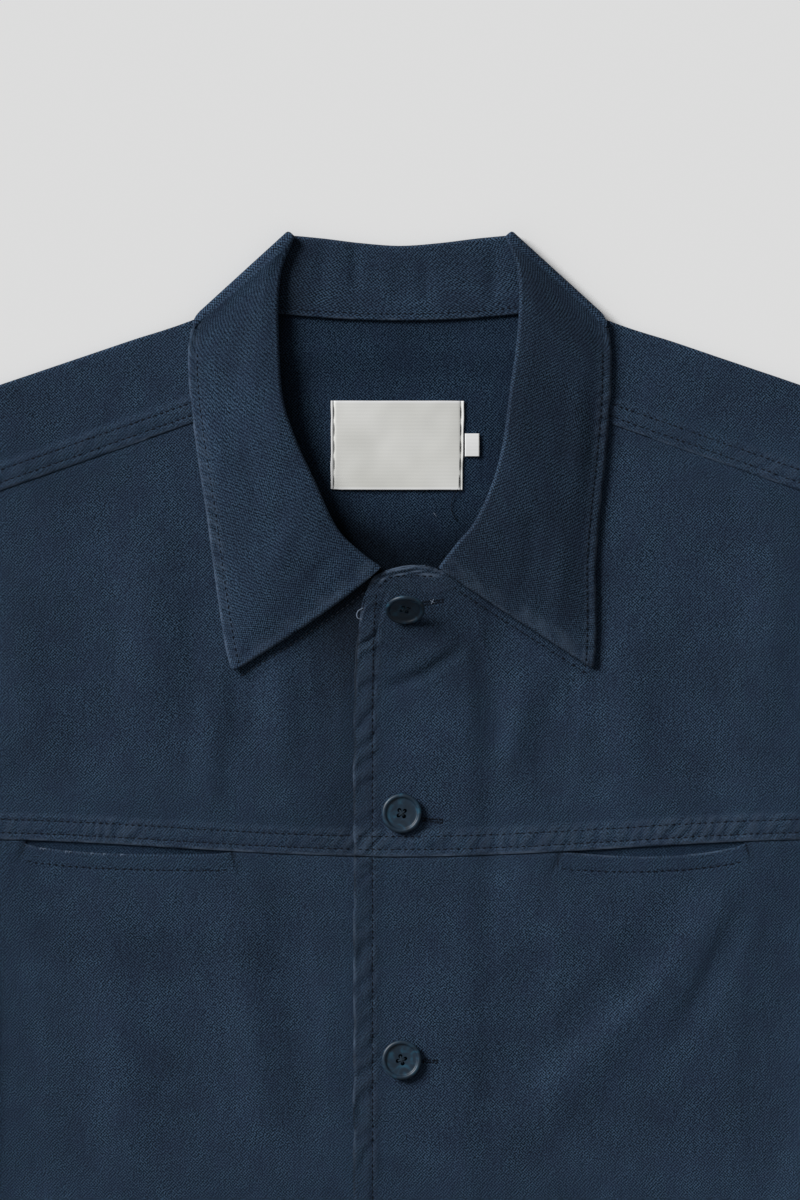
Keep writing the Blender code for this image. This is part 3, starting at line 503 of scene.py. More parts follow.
def clothObject(name, grids, thickness, material, closedRings=False):
    # one shell from grids, which share points where they meet
    points, faces, extras = [], [], []
    found = {}
    for grid in grids:
        x, y, z = grid["x"], grid["y"], grid["z"]
        rows, columns = x.shape
        index = np.zeros((rows, columns), int)
        for i in range(rows):
            for j in range(columns):
                key = (round(float(x[i, j]), 3), round(float(y[i, j]), 3), round(float(z[i, j]), 3))
                if key not in found:
                    found[key] = len(points)
                    points.append((key[0] * mm, key[1] * mm, key[2] * mm))
                    extras.append([grid[label][i, j] for label in wearAndShadeLabels])
                index[i, j] = found[key]
        last = columns if closedRings else columns - 1
        for i in range(rows - 1):
            for j in range(last):
                k = (j + 1) % columns
                corners = (index[i, j], index[i, k], index[i + 1, k], index[i + 1, j])
                uvs = [(grid["u"][a, b] * mm, grid["v"][a, b] * mm)
                       for a, b in ((i, j), (i, k), (i + 1, k), (i + 1, j))]
                if closedRings and k == 0:
                    for n in (1, 2):
                        uvs[n] = (uvs[n][0] + grid["around"] * mm, uvs[n][1])
                if len(set(corners)) == 4:
                    faces.append(([int(c) for c in corners], uvs))
    mesh = bpy.data.meshes.new(name)
    mesh.from_pydata(points, [], [face for face, _ in faces])
    uvLayer = mesh.uv_layers.new(name="grain")
    uvLayer.data.foreach_set("uv", np.array([uv for _, corner in faces for uv in corner], dtype=np.float32).ravel())
    for place, label in enumerate(wearAndShadeLabels):
        values = mesh.attributes.new(label, "FLOAT", "POINT")
        values.data.foreach_set("value", np.array([row[place] for row in extras], dtype=np.float32))
    mesh.shade_smooth()
    mesh.materials.append(material)
    piece = linked(name, mesh)
    wall = piece.modifiers.new("clothThickness", "SOLIDIFY")
    wall.thickness = thickness * mm
    wall.offset = 0.0
    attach(piece, "root")
    return piece


def linked(name, data):
    # an object in the scene with this mesh, light or camera
    made = bpy.data.objects.new(name, data)
    bpy.context.collection.objects.link(made)
    return made


def gridOf(x, y, z, u=None, v=None, edge=None, rubbed=None, paintedShade=None, around=0.0):
    # what a sheet needs at each point: its place, its grain, how near an edge and how rubbed it is, and how much shade
    # is painted on it
    none = np.zeros(x.shape)
    return {"x": x, "y": y, "z": z, "u": x if u is None else u, "v": y if v is None else v,
            "edge": none + farAway if edge is None else edge, "rubbed": none if rubbed is None else rubbed,
            "paintedShade": none if paintedShade is None else paintedShade, "around": around}


def heightAt(height, x, y):
    # one value of a function that works on arrays
    return float(height(np.array([x]), np.array([y]))[0])


seamForm = {
    "margin": 1.0, "step": 3.0,               # the allowance ends past the last row, and slopes off
    "edgeDrop": 0.45, "edgeReach": 0.8,       # the folded edge rolls down
    "wander": 13.0, "sway": 3.2, "slant": 15.0, "swell": 0.55, "pinch": 1.7,      # the puckers' form
    "patches": 31.0,                          # mm between stronger and weaker puckers
}


def seamRelief(away, run, rows, lift, ropes, pitch, seed, trough=0.3):
    # a lapped, topstitched seam: allowance under the edge, a trough at each row, and puckers that slant between them
    inner = max(rows) + seamForm["margin"]
    level = lift * within(away - inner, seamForm["step"]) - seamForm["edgeDrop"] * within(away, seamForm["edgeReach"])
    for row in rows:
        level = level - trough * crest(away, row, 1.0)
    wander = seamForm["sway"] * softNoise(run, away, seamForm["wander"], seed)
    turns = 2 * math.pi * (run / pitch + away / seamForm["slant"]) + wander
    wave = seamForm["swell"] - seamForm["pinch"] * (0.5 + 0.5 * np.sin(turns)) ** 3
    window = softStep(away / 1.5) * within(away - inner, 4.0)
    strength = 0.55 + 0.45 * lineNoise(run, seamForm["patches"], seed + 5)
    puckers = wave * window * strength
    return level + ropes * puckers, np.clip(puckers, 0.0, 1.0)


def tubeFaces(base, rings, sides):
    # sides and ends of a tube whose rings of points start at base
    faces = []
    for low in range(base, base + (rings - 1) * sides, sides):
        for step in range(sides):
            nxt = (step + 1) % sides
            faces.append((low + step, low + nxt, low + sides + nxt, low + sides + step))
    faces.append(tuple(base + step for step in range(sides - 1, -1, -1)))
    faces.append(tuple(base + (rings - 1) * sides + step for step in range(sides)))
    return faces


stitch = {
    "rings": ((0.0, 0.35), (0.25, 0.9), (0.5, 1.0), (0.75, 0.9), (1.0, 0.35)),      # share along it, fatness
    "sides": 5, "sway": 0.12, "sink": 0.10, "arch": 0.16, "thick": 0.42,
}


def sewRow(line, height, length=2.3, gap=0.95, width=0.74, seed=0):
    # a row of stitches along a line in plan: each one a small spindle, half sunk in the cloth
    total = lineLength(line)
    count = max(int(total / (length + gap)), 1)
    points, faces = [], []
    xy = np.array(line, float)
    runs = np.concatenate([[0.0], np.cumsum(np.hypot(*np.diff(xy, axis=0).T))])
    rng = np.random.default_rng(seed + 11)
    for first in np.linspace(0.0, total, count * 2 + 1)[:-1:2]:
        ex, ey = (np.interp([first, first + length], runs, values) for values in xy.T)
        sway = rng.uniform(-stitch["sway"], stitch["sway"], 2)
        dx, dy = ex[1] - ex[0], ey[1] - ey[0]
        size = math.hypot(dx, dy) or 1.0
        nx, ny = -dy / size, dx / size
        faces += tubeFaces(len(points), len(stitch["rings"]), stitch["sides"])
        for t, fat in stitch["rings"]:
            cx, cy = ex[0] + dx * t + nx * sway[0], ey[0] + dy * t + ny * sway[1]
            cz = heightAt(height, cx, cy) - stitch["sink"] + stitch["arch"] * math.sin(math.pi * t)
            for corner in range(stitch["sides"]):
                angle = 2 * math.pi * corner / stitch["sides"]
                reach = width / 2 * fat * math.cos(angle)
                points.append(((cx + nx * reach) * mm, (cy + ny * reach) * mm,
                               (cz + width * stitch["thick"] * fat * math.sin(angle)) * mm))
    return points, faces


def threadObject(name, parts, material=sewingThread):
    # joins rows of stitches into one piece
    points, faces = [], []
    for rowPoints, rowFaces in parts:
        base = len(points)
        points += rowPoints
        faces += [tuple(base + corner for corner in face) for face in rowFaces]
    mesh = bpy.data.meshes.new(name)
    mesh.from_pydata(points, [], faces)
    mesh.shade_smooth()
    mesh.materials.append(material)
    piece = linked(name, mesh)
    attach(piece, "root")
    return piece


def polyAt(line, places):
    # points at fractional places along a list of points, straight between them
    rows = np.array(line, float)
    index = np.arange(len(rows))
    return np.interp(places, index, rows[:, 0]), np.interp(places, index, rows[:, 1])


def curveIndexed(line, places):
    # the same, on a smooth curve
    rows = np.array(line, float)
    made = []
    for place in places:
        i = min(int(place), len(rows) - 2)
        ends = rows[max(i - 1, 0)], rows[i], rows[i + 1], rows[min(i + 2, len(rows) - 1)]
        made.append(blend(*ends, place - i))
    return np.array(made)


backPiece = {
    "neckColumns": 30, "shoulderColumns": 64, "sideRows": 54, "armholeRows": 70,
    "yokeRows": (52, 48, 44, 40, 36, 32, 28, 25, 22, 19.5, 17, 15.2, 13.6, 12.4, 11.4, 10.5, 9.9, 9.3, 8.6, 7.8, 6.9,
                 6.0, 5.2, 4.4, 3.8, 3.2, 2.5, 1.8, 1.1, 0.6, 0.25, 0.0),
    "yokeSeam": {"rows": (3.6, 9.6), "lift": 0.8, "ropes": 0.4, "pitch": 9.0, "seed": 7}, "yokeRub": 0.22,
    "shoulderTurns": (22, 45, 68, 90, 112, 135, 158),
    "innerUneven": 0.10,
}
neckShade = {                                # half width of the open neck by height, and how much shade is painted inside it
    "y": (195, 215, 240, 265, 290, 310, 330), "x": (3, 14, 32, 44, 52, 57, 58),
    "least": 0.18, "beside": 0.5, "front": 0.72, "top": 0.12,
}


def yokeRelief(x, y, side):
    away, run, _ = nearestOn(np.abs(x), y, yokeSeam)
    return *seamRelief(away, -run if side == "left" else run, **backPiece["yokeSeam"]), away


def facingUp(grid, side):
    # the right side's sheets are built as mirror images, so their columns are turned round
    if side == "left":
        return grid
    return {name: values[:, ::-1] if isinstance(values, np.ndarray) else values for name, values in grid.items()}


def makeYoke(side, topRow):
    # the forward shoulder: from the fold on the shoulder line down to its topstitched seam
    sign = signs[side]
    neck, tip = pattern["neckPoint"], pattern["shoulderPoint"]
    shares = np.linspace(0.0, 1.0, backPiece["shoulderColumns"])
    lean = heading(neck, tip)
    outward = (-lean[1], lean[0])
    x0 = neck[0] + (tip[0] - neck[0]) * shares
    y0 = neck[1] + (tip[1] - neck[1]) * shares
    low, high = backLevel(x0, y0), frontLevel(sign * x0, y0, side)
    radius = (high - low) / 2
    xs, ys, zs = [topRow[0]], [topRow[1]], [topRow[2]]
    for turn in backPiece["shoulderTurns"]:
        push = radius * math.sin(math.radians(turn))
        xs.append(sign * (x0 + outward[0] * push))
        ys.append(y0 + outward[1] * push)
        zs.append(low + radius - radius * math.cos(math.radians(turn)))
    neckRows = [(abs(x), y) for x, y, _ in neckLines[side]][:6]
    neckEnd = next(s / 200 for s in range(200) if curveAt(neckRows, s / 200)[1] < pattern["yokeNeckEnd"][1])
    reach = backPiece["yokeRows"][0]
    for distance in backPiece["yokeRows"]:
        down = 1.0 - distance / reach
        inner = curveAt(neckRows, neckEnd * down) if down < 1.0 else pattern["yokeNeckEnd"]
        outerX, outerY = polyAt(armhole, [pattern["yokeSeamAt"] * down])
        xs.append(sign * (inner[0] + (outerX - inner[0]) * shares))
        ys.append(inner[1] + (outerY - inner[1]) * shares)
        zs.append(frontLevel(xs[-1], ys[-1], side))
    x, y, z = np.array(xs), np.array(ys), np.array(zs)
    relief, puckers, away = yokeRelief(x, y, side)
    bend = slice(0, 1 + len(backPiece["shoulderTurns"]))      # the seam isn't near the fold over the shoulder
    relief[bend], puckers[bend], away[bend] = 0.0, 0.0, farAway
    grid = gridOf(x, y, z + relief, edge=away, rubbed=puckers * backPiece["yokeRub"])
    return facingUp(grid, side)


def innerShade(x, y):
    # painted shade inside the neck, where the collar and the fronts shade it: most beside the collar and at the front
    across = np.interp(y, neckShade["y"], neckShade["x"])
    beside = softStep((14.0 - (across + x)) / 22.0)
    front, top = softStep((238.0 - y) / 34.0), softStep((y - 312) / 10)
    shade = neckShade["least"] + neckShade["beside"] * beside + neckShade["front"] * front + neckShade["top"] * top
    return np.clip(shade, 0.0, 1.0)


def makeBack():
    neckX = np.linspace(0.0, pattern["neckPoint"][0], backPiece["neckColumns"])[:-1]
    tip = pattern["shoulderPoint"]
    shares = np.linspace(0.0, 1.0, backPiece["shoulderColumns"])
    shoulderX = pattern["neckPoint"][0] + (tip[0] - pattern["neckPoint"][0]) * shares
    halfX = np.concatenate([neckX, shoulderX])
    halfY = np.concatenate([backNeckY(neckX), shoulderY(shoulderX)])
    columnX = np.concatenate([-halfX[:0:-1], halfX])
    columnY = np.concatenate([halfY[:0:-1], halfY])
    sideX = np.linspace(pattern["hemCorner"][0], pattern["underarm"][0], backPiece["sideRows"])[:-1]
    sideY = np.linspace(pattern["hemCorner"][1], pattern["underarm"][1], backPiece["sideRows"])[:-1]
    armX, armY = polyAt(armhole[::-1], np.linspace(0.0, len(armhole) - 1, backPiece["armholeRows"]))
    edgeX, edgeY = np.concatenate([sideX, armX]), np.concatenate([sideY, armY])
    rise = softStep((edgeY - pattern["underarm"][1]) / (tip[1] - pattern["underarm"][1]))
    x = columnX[None, :] / tip[0] * edgeX[:, None]
    y = edgeY[:, None] + (columnY[None, :] - tip[1]) * rise[:, None]
    uneven = backPiece["innerUneven"] * (1.0 + softNoise(x, y, 26.0, 11)) * softStep((y - 180) / 40)
    z = backLevel(x, y) + uneven * softStep((90 - np.abs(x)) / 30)
    grids = [gridOf(x, y, z, u=-x, paintedShade=innerShade(x, y))]
    count = len(shares)
    grids.append(makeYoke("left", (x[-1, -count:], y[-1, -count:], z[-1, -count:])))
    grids.append(makeYoke("right", (x[-1, :count][::-1], y[-1, :count][::-1], z[-1, :count][::-1])))
    piece = clothObject("backCloth", grids, cloth["body"], bodyTwill)
    piece.data.materials.append(insideTwill)
    inside = (x.shape[0] - 1) * (x.shape[1] - 1)
    for number, polygon in enumerate(piece.data.polygons):
        if number < inside:
            polygon.material_index = 1
    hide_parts("back")


frontPiece = {
    "neck": {
        "left": [(18.0, 199.6), (9.0, 202.2), (-9.8, 198.7), (-16.0, 191.6), (-20.6, 172.0), (-23.0, 130.0)],
        "right": [(4.0, 197.4), (20.0, 197.0), (24.0, 186.0), (24.0, 156.0), (24.0, 122.0), (24.0, 88.0)],
    },
    "length": 426.0,                          # chest seam to hem, at the side
    "tuck": 3.0,                              # how far a panel runs on under the seam above it
    "chestSeam": {"rows": (3.4, 10.0), "lift": 0.8, "ropes": 0.34, "pitch": 7.5, "seed": 3}, "chestRub": 0.36,
    "hemSeam": {"rows": (21.0,), "lift": 0.35, "ropes": 0.25, "pitch": 12.0, "seed": 51}, "hemRub": 0.25,
    "paintedShadeUnder": 0.75, "paintedShadeNeck": 0.34,    # painted shade: on the under lap below the collar, and on the cloth round the neck
}
placket = {
    "seam": {"rows": (9.3,), "lift": 0.16, "ropes": 0.62, "pitch": 13.0, "seed": 21},
    "fineSeam": {"rows": (9.3,), "lift": 0.0, "ropes": 0.16, "pitch": 5.5, "seed": 33, "trough": 0.26},
    "swayReach": 9.0, "sway": ((0.7, 13.0, 38), (0.35, 5.0, 39)),      # of the folded edge: height, size, seed
    "stripTo": -13.0, "stripShade": 0.2, "edgeTo": -18.0,
    "neckFrom": 190.0, "fraySize": 2.0, "frayRub": 5.0, "neckRidge": 0.3, "neckUneven": 0.12, "ragged": 0.4,
    "rub": 0.3,
}


def freeEdge(side):
    # neck edge, rounded corner and front edge, down to the hem
    x = pattern["frontEdge"][side]
    return frontPiece["neck"][side] + [(x, 56.0), (x, pattern["hemCorner"][1])]


def edgeSway(x, y, side):
    # the top front's folded edge wanders a little with its puckers
    if side == "right":
        return 0.0 * x
    sway = sum(height * lineNoise(y, size, seed) for height, size, seed in placket["sway"])
    beside = within(np.abs(x - pattern["frontEdge"]["left"]), placket["swayReach"])
    return sway * beside * softStep((170.0 - y) / 20.0)


def stripShade(x, y, edge, side):
    # painted shade on the folded strip, a little darker than the front, and on its very edge in patches along it
    if side == "right":
        return 0.0 * x
    strip = placket["stripShade"] * within(x - placket["stripTo"], 6.0)
    edgeShade = np.clip(0.5 + 0.9 * lineNoise(y, 6.5, 44), 0.0, 0.85) * within(edge, 1.7)
    return np.maximum(strip, edgeShade * within(x - placket["edgeTo"], 3.0))


def placketRelief(x, y, side):
    # the folded front edge with its topstitch, which has shrunk and roped, and the frayed neck edge above it
    away, run, _ = nearestOn(x, y, freeEdge(side))
    if side == "right":
        return np.zeros(np.shape(x)), np.zeros(np.shape(x)), away
    relief, puckers = seamRelief(away, run, **placket["seam"])
    fine, finePuckers = seamRelief(away, run, **placket["fineSeam"])
    # the first seam has made the trough and the rolled edge already
    fine = fine + placket["fineSeam"]["trough"] * crest(away, placket["seam"]["rows"][0], 1.0)
    fine = fine + seamForm["edgeDrop"] * within(away, seamForm["edgeReach"])
    neckEdge = softStep((y - placket["neckFrom"]) / 6.0)
    frayed = np.clip(0.45 + 0.75 * softNoise(run, away, placket["fraySize"], 35), 0.0, 1.0)
    band = placket["neckRidge"] * neckEdge * (crest(away, 1.0, 0.6) - crest(away, 2.1, 0.5))
    band = band + placket["neckUneven"] * neckEdge * softNoise(x, y, 1.8, 36) * within(away - 3.0, 1.5)
    twoLines = within(away, 1.3) + 0.9 * crest(away, 3.0, 0.45)
    rub = puckers * 0.5 + finePuckers * 0.3 + neckEdge * twoLines * frayed * placket["frayRub"]
    return relief + fine + band, rub, away


def upperSurface(x, y, side):
    # height, distance to the nearest worn edge, and how rubbed the upper front is at points in plan
    z = frontLevel(x, y, side)
    below = y - chestY(x)
    chest, chestPuckers = seamRelief(below, -x, **frontPiece["chestSeam"])
    chest = chest + 0.13 * within(below, seamForm["edgeReach"])
    strip, stripPuckers, away = placketRelief(x, y, side)
    edge = np.minimum(below, away) if side == "left" else below
    worn = 0.5 * within(below, 1.4) * (0.5 + 0.7 * softNoise(x, y, 6.0, 37))
    return z + chest + strip, edge, chestPuckers * frontPiece["chestRub"] + stripPuckers * placket["rub"] + worn


def makeUpperFront(side):
    sign = signs[side]
    outer = [(sign * yokeSeam[1][0], yokeSeam[1][1])]
    first = pattern["yokeSeamAt"]
    for start, end in zip(armhole[first:], armhole[first + 1:]):
        outer += [(sign * px, py) for px, py in (mix(start, end, 0.5), end)]
    underarm = pattern["underarm"][0]
    outer.append((sign * underarm, float(chestY(underarm))))
    edgeX = pattern["frontEdge"][side]
    neck = [row[:2] for row in neckLines[side] if row[1] < pattern["yokeNeckEnd"][1]]
    inner = [(sign * pattern["yokeNeckEnd"][0], pattern["yokeNeckEnd"][1])] + neck + frontPiece["neck"][side]
    inner.append((edgeX, float(chestY(edgeX))))
    last = len(outer) - 1
    # rows and columns lie closest beside the seams and the folded edge
    fine = 1.0 - np.array([0.16, 0.14, 0.125, 0.11, 0.095, 0.08, 0.068, 0.056, 0.045, 0.034, 0.024, 0.015, 0.008,
                           0.004, 0.0])
    places = np.concatenate([[0.0, 0.05, 0.11, 0.18, 0.26, 0.36, 0.5, 0.66, 0.83], np.linspace(1.0, last - 3.0, 46),
                             np.linspace(last - 3.0, last - 2.0, 15)[1:], np.linspace(last - 2.0, last - 1.0, 27)[1:],
                             np.linspace(last - 1.0, last - 0.18, 38)[1:], last - 1.0 + fine])
    outerX, outerY = polyAt(outer, places)
    innerX, innerY = curveIndexed(inner, places).T
    innerEnd = places > last - 1.0
    innerX[innerEnd], innerY[innerEnd] = polyAt(inner, places[innerEnd])
    edgeShares = 1.0 - np.array([24.0, 22, 20, 18.2, 16.6, 15, 13.6, 12.4, 11.4, 10.6, 10, 9.5, 9.0, 8.4, 7.6, 6.6, 5.6,
                                 4.6, 3.7, 2.9, 2.1, 1.4, 0.8, 0.4, 0.0]) / 300.0
    shares = np.concatenate([np.linspace(0.0, edgeShares[0], 186)[:-1], edgeShares])
    x = outerX[:, None] + (innerX - outerX)[:, None] * shares[None, :]
    y = outerY[:, None] + (innerY - outerY)[:, None] * shares[None, :]
    straight = outerY[-1] + (innerY[-1] - outerY[-1]) * shares[None, :]
    down = (places / last)[:, None]
    y = y + (chestY(x) - straight) * softStep(2.0 * down - 1.0)
    under = within(places, 0.5)[:, None]
    y = y + frontPiece["tuck"] * under
    z, edge, rubbed = upperSurface(x, y, side)
    z = z - 0.3 * under
    x = x + edgeSway(x, y, side)
    if side == "left":
        y = y + placket["ragged"] * lineNoise(x, 2.3, 45) * softStep((y - 188.0) / 5.0) * within(edge, 1.6)
        # painted shade on the cloth round the neck, and on the folded strip
        roundNeck = softStep((y - 132.0) / 36.0) * within(np.abs(x - 18.0) - 18.0, 26.0)
        paintedShade = stripShade(x, y, edge, side) + frontPiece["paintedShadeNeck"] * roundNeck
    else:
        # painted shade on the right front beside and under the lap, darker towards the neck
        underLap = softStep((x + 62.0) / 36.0) * (0.45 + 0.55 * softStep((y - 120.0) / 60.0))
        paintedShade = frontPiece["paintedShadeUnder"] * underLap
    grid = facingUp(gridOf(x, y, z, edge=edge, rubbed=rubbed, paintedShade=paintedShade), side)
    piece = clothObject(f"{side}UpperFront", [grid], cloth["body"], bodyTwill)
    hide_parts(f"front_{side}_upper")


def tackMarks(x, distance, side):
    # the slanting pinch below each end of a pocket mouth
    marks = np.zeros(np.shape(x))
    for end, lean in zip(pocket[side], (-pocket["tackLean"], pocket["tackLean"])):
        marks = marks + crest(x - end, lean * distance, pocket["tackHalf"])
    return marks * softStep(distance / 1.0) * within(distance - pocket["tackReach"], 7.0)


def lowerSurface(x, y, side, distance):
    # the same for the lower front, at distances below its lip
    z = frontLevel(x, y, side)
    strip, puckers, away = placketRelief(x, y, side)
    x0, x1 = pocket[side]
    inside = inMouth(x, side)
    trough = pocket["lipTrough"] + pocket["lipUneven"] * softNoise(x, y, 16.0, 42)
    trough = trough * crest(distance, pocket["lipStitch"], 1.1) * inside
    wave = pocket["lipWave"] * np.sin(2 * math.pi * x / pocket["lipPitch"] + 4.0 * softNoise(x, y, 12.0, 41)) * inside
    wave = wave * softStep(distance / 1.5) * within(distance - 8.0, 4.0)
    hem = y - pattern["hemCorner"][1]
    hemRelief, hemPuckers = seamRelief(hem, x, **frontPiece["hemSeam"])
    z = z + strip + hemRelief - trough + wave - pocket["tackDepth"] * tackMarks(x, distance, side)
    lipWear = 0.2 + 0.8 * softStep((x - x0) / (x1 - x0) / 0.7) if side == "right" else 0.6
    edge = np.minimum(np.where(inside > 0.5, np.abs(distance) + lipWear, farAway), hem)
    if side == "left":
        edge = np.minimum(edge, away)
    return z, edge, puckers * placket["rub"] + hemPuckers * frontPiece["hemRub"]


def makeLowerFront(side):
    # from the chest seam down to the hem; the lip of the pocket mouth is rolled under
    sign = signs[side]
    edgeX = pattern["frontEdge"][side]
    x0, x1 = pocket[side]
    ends = [end + step for end in (x0, x1) for step in (-3.2, -2.0, -1.2, -0.6, 0.0, 0.6, 1.2, 2.0, 3.2)]
    edges = [edgeX + sign * step for step in (0, .4, .8, 1.4, 2.1, 2.9, 3.7, 4.6, 5.6, 6.6, 7.6, 8.4, 9, 9.5, 10, 10.6,
                                              11.4, 12.4, 13.6, 15, 16.6, 18.2, 20, 22, 24)]
    sideX = sign * pattern["underarm"][0]
    spread = [v for v in np.arange(edgeX + sign * 26.4, sideX, sign * 2.7) if min(abs(v - x0), abs(v - x1)) > 4.2]
    columns = np.array(sorted(set(np.round(ends + edges + spread + [sideX], 3))))
    near = [-3.2, -2.2, -1.3, -0.6, 0.0, 0.4, 0.9, 1.6, 2.4, 3.3, 4.3, 5.3, 6.2, 7.0, 7.7, 8.3, 8.9, 9.5, 10.2, 11.1,
            12.3]
    length = frontPiece["length"]
    hemRows = [length - d for d in (26, 24, 22.6, 21.6, 20.6, 19.6, 18, 14, 10, 6, 3, 1.5, 0.6, 0.0)]
    steps = np.array(near + list(np.arange(14.4, 186.0, 2.7)) + list(np.arange(190.0, 398.0, 7.0)) + hemRows)
    base, distance = np.meshgrid(columns, steps)
    inside = inMouth(base, side)
    seam = chestY(base)
    scale = (seam - pattern["hemCorner"][1]) / length
    gap = mouthGap(base, side) * inside * within(distance, pocket["gapReach"])
    y = seam - np.maximum(distance, 0.0) * scale - gap
    turned = np.minimum(distance, 0.0)
    y = y + turned * inside - turned * (1.0 - inside)
    toSide = pattern["underarm"][0] - pattern["hemCorner"][0]
    sideShift = np.clip((np.abs(base) - 264.0) / 25.8, 0.0, 1.0)
    fall = (pattern["underarm"][1] - y) / (pattern["underarm"][1] - pattern["hemCorner"][1])
    x = base - sign * sideShift * fall * toSide
    z, edge, rubbed = lowerSurface(x, y, side, distance)
    # painted shade on the folded strip and in the pinch at each tack
    paintedShade = stripShade(x, y, edge, side) + pocket["tackShade"] * tackMarks(x, distance, side)
    x = x + edgeSway(x, y, side)
    z = z - 1.05 * softStep(-distance / 1.3) * inside - 0.3 * within(distance, 1.4) * (1.0 - inside)
    z = z - 0.15 * inside * within(distance, 0.8)
    edge = np.where((distance < 0) & (inside < 0.5), farAway, edge)
    grid = gridOf(*(values[::-1] for values in (x, y, z)), edge=edge[::-1], rubbed=rubbed[::-1], paintedShade=paintedShade[::-1])
    piece = clothObject(f"{side}LowerFront", [grid], cloth["body"], bodyTwill)
    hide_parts(f"front_{side}_lower")


def makePocketLining(side):
    x0, x1 = pocket[side]
    columns = np.linspace(x0 - pocket["past"], x1 + pocket["past"], 70)
    rows = np.concatenate([np.linspace(-pocket["below"], -12.0, 8)[:-1], np.linspace(-12.0, pocket["above"], 20)])
    x, down = np.meshgrid(columns, rows)
    y = chestY(x) + down
    gap = mouthGap(x, side)
    inside = softStep((x - x0) / 3.0) * softStep((x1 - x) / 3.0)
    # it hangs from the seam, and goes under the lip
    z = pocket["liningLevel"] + pocket["liningRise"] * softStep((y - chestY(x) + gap) / gap) * inside
    z = z + 0.12 * softNoise(x, y, 16.0, 61) + 0.08 * softNoise(x, y, 7.0, 62)
    piece = clothObject(f"{side}PocketLining", [gridOf(x, y, z)], cloth["facing"], insideTwill)
    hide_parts(f"pocket_facing_{side}")


makeBack()
for makePanel in (makeUpperFront, makeLowerFront, makePocketLining):
    for side in signs:
        makePanel(side)
print("the body's panels are made")


sleevePiece = {
    "folds": [(0.12, 26.0, 0.8, 20.0), (0.30, -20.0, 0.7, 22.0), (0.48, 30.0, 1.0, 20.0), (0.60, -24.0, 0.9, 18.0),
              (0.82, 14.0, 0.6, 22.0)],       # share of the length, slant, height, half width
    "fineFolds": [(0.07, 30.0, -0.5, 8.0), (0.17, -26.0, 0.4, 9.0), (0.39, 24.0, -0.6, 8.0), (0.44, -30.0, 0.5, 7.0),
                  (0.53, 28.0, -0.6, 8.0), (0.56, -22.0, 0.4, 8.0), (0.68, 26.0, -0.4, 9.0), (0.9, 12.0, 0.3, 9.0)],
    "rows": 112, "length": math.dist(pattern["shoulderPoint"], pattern["cuffTop"]),
    "hemSeam": {"rows": (22.0,), "lift": 0.3, "ropes": 0.2, "pitch": 11.0, "seed": 75},
    "roundness": 0.9, "bend": 5.0, "uneven": 0.15, "cuffWidth": 130.0,
}


def sleevePlace(share, down):
    # place in plan: a share of the way from the sleeve's top edge, and a share of its length
    x, y = polyAt(armhole, np.interp(share, pattern["armholeShares"], range(len(armhole))))
    topX, topY = pattern["cuffTop"]
    underX, underY = pattern["cuffUnder"]
    cuffX, cuffY = topX + (underX - topX) * share, topY + (underY - topY) * share
    x, y = x + 0.4 + (cuffX - x - 0.4) * down, y + (cuffY - y) * down
    along = heading(pattern["shoulderPoint"], pattern["cuffTop"])
    bow = pattern["sleeveBow"] * (1.0 - share) * np.sin(math.pi * down ** pattern["bowEarly"])
    return x - along[1] * bow, y + along[0] * bow


def sleeveLevel(x, y, side, down, share):
    # middle of the sleeve's top layer, and the distance to its hem
    atArmhole = frontLevel(signs[side] * x, y, side)
    level = levels["front"] + sleevePiece["roundness"] * np.sqrt(np.sin(math.pi * np.clip(share, 0.0, 1.0)))
    level = atArmhole + (level - atArmhole) * softStep(down / 0.08)
    bend = sleevePiece["bend"] * softNoise(x, y, 45.0, 71 if side == "left" else 72)
    for place, slant, height, halfWidth in sleevePiece["folds"] + sleevePiece["fineFolds"]:
        away = np.abs((down - place) * sleevePiece["length"] + slant * (share - 0.5) * 2 + bend * (halfWidth < 10))
        level = level + height * within(away, halfWidth) * np.sin(math.pi * share)
    toCuff = (1.0 - down) * sleevePiece["length"]
    hem, _ = seamRelief(toCuff, share * sleevePiece["cuffWidth"], **sleevePiece["hemSeam"])
    return level + hem + sleevePiece["uneven"] * softNoise(x, y, 22.0, 73) * softStep(down / 0.05), toCuff


def runAcross(*grids):
    # distance along each row of a sheet, from its first column
    step = np.sqrt(sum(np.diff(values, axis=1) ** 2 for values in grids))
    return np.concatenate([np.zeros((len(step), 1)), np.cumsum(step, axis=1)], axis=1)


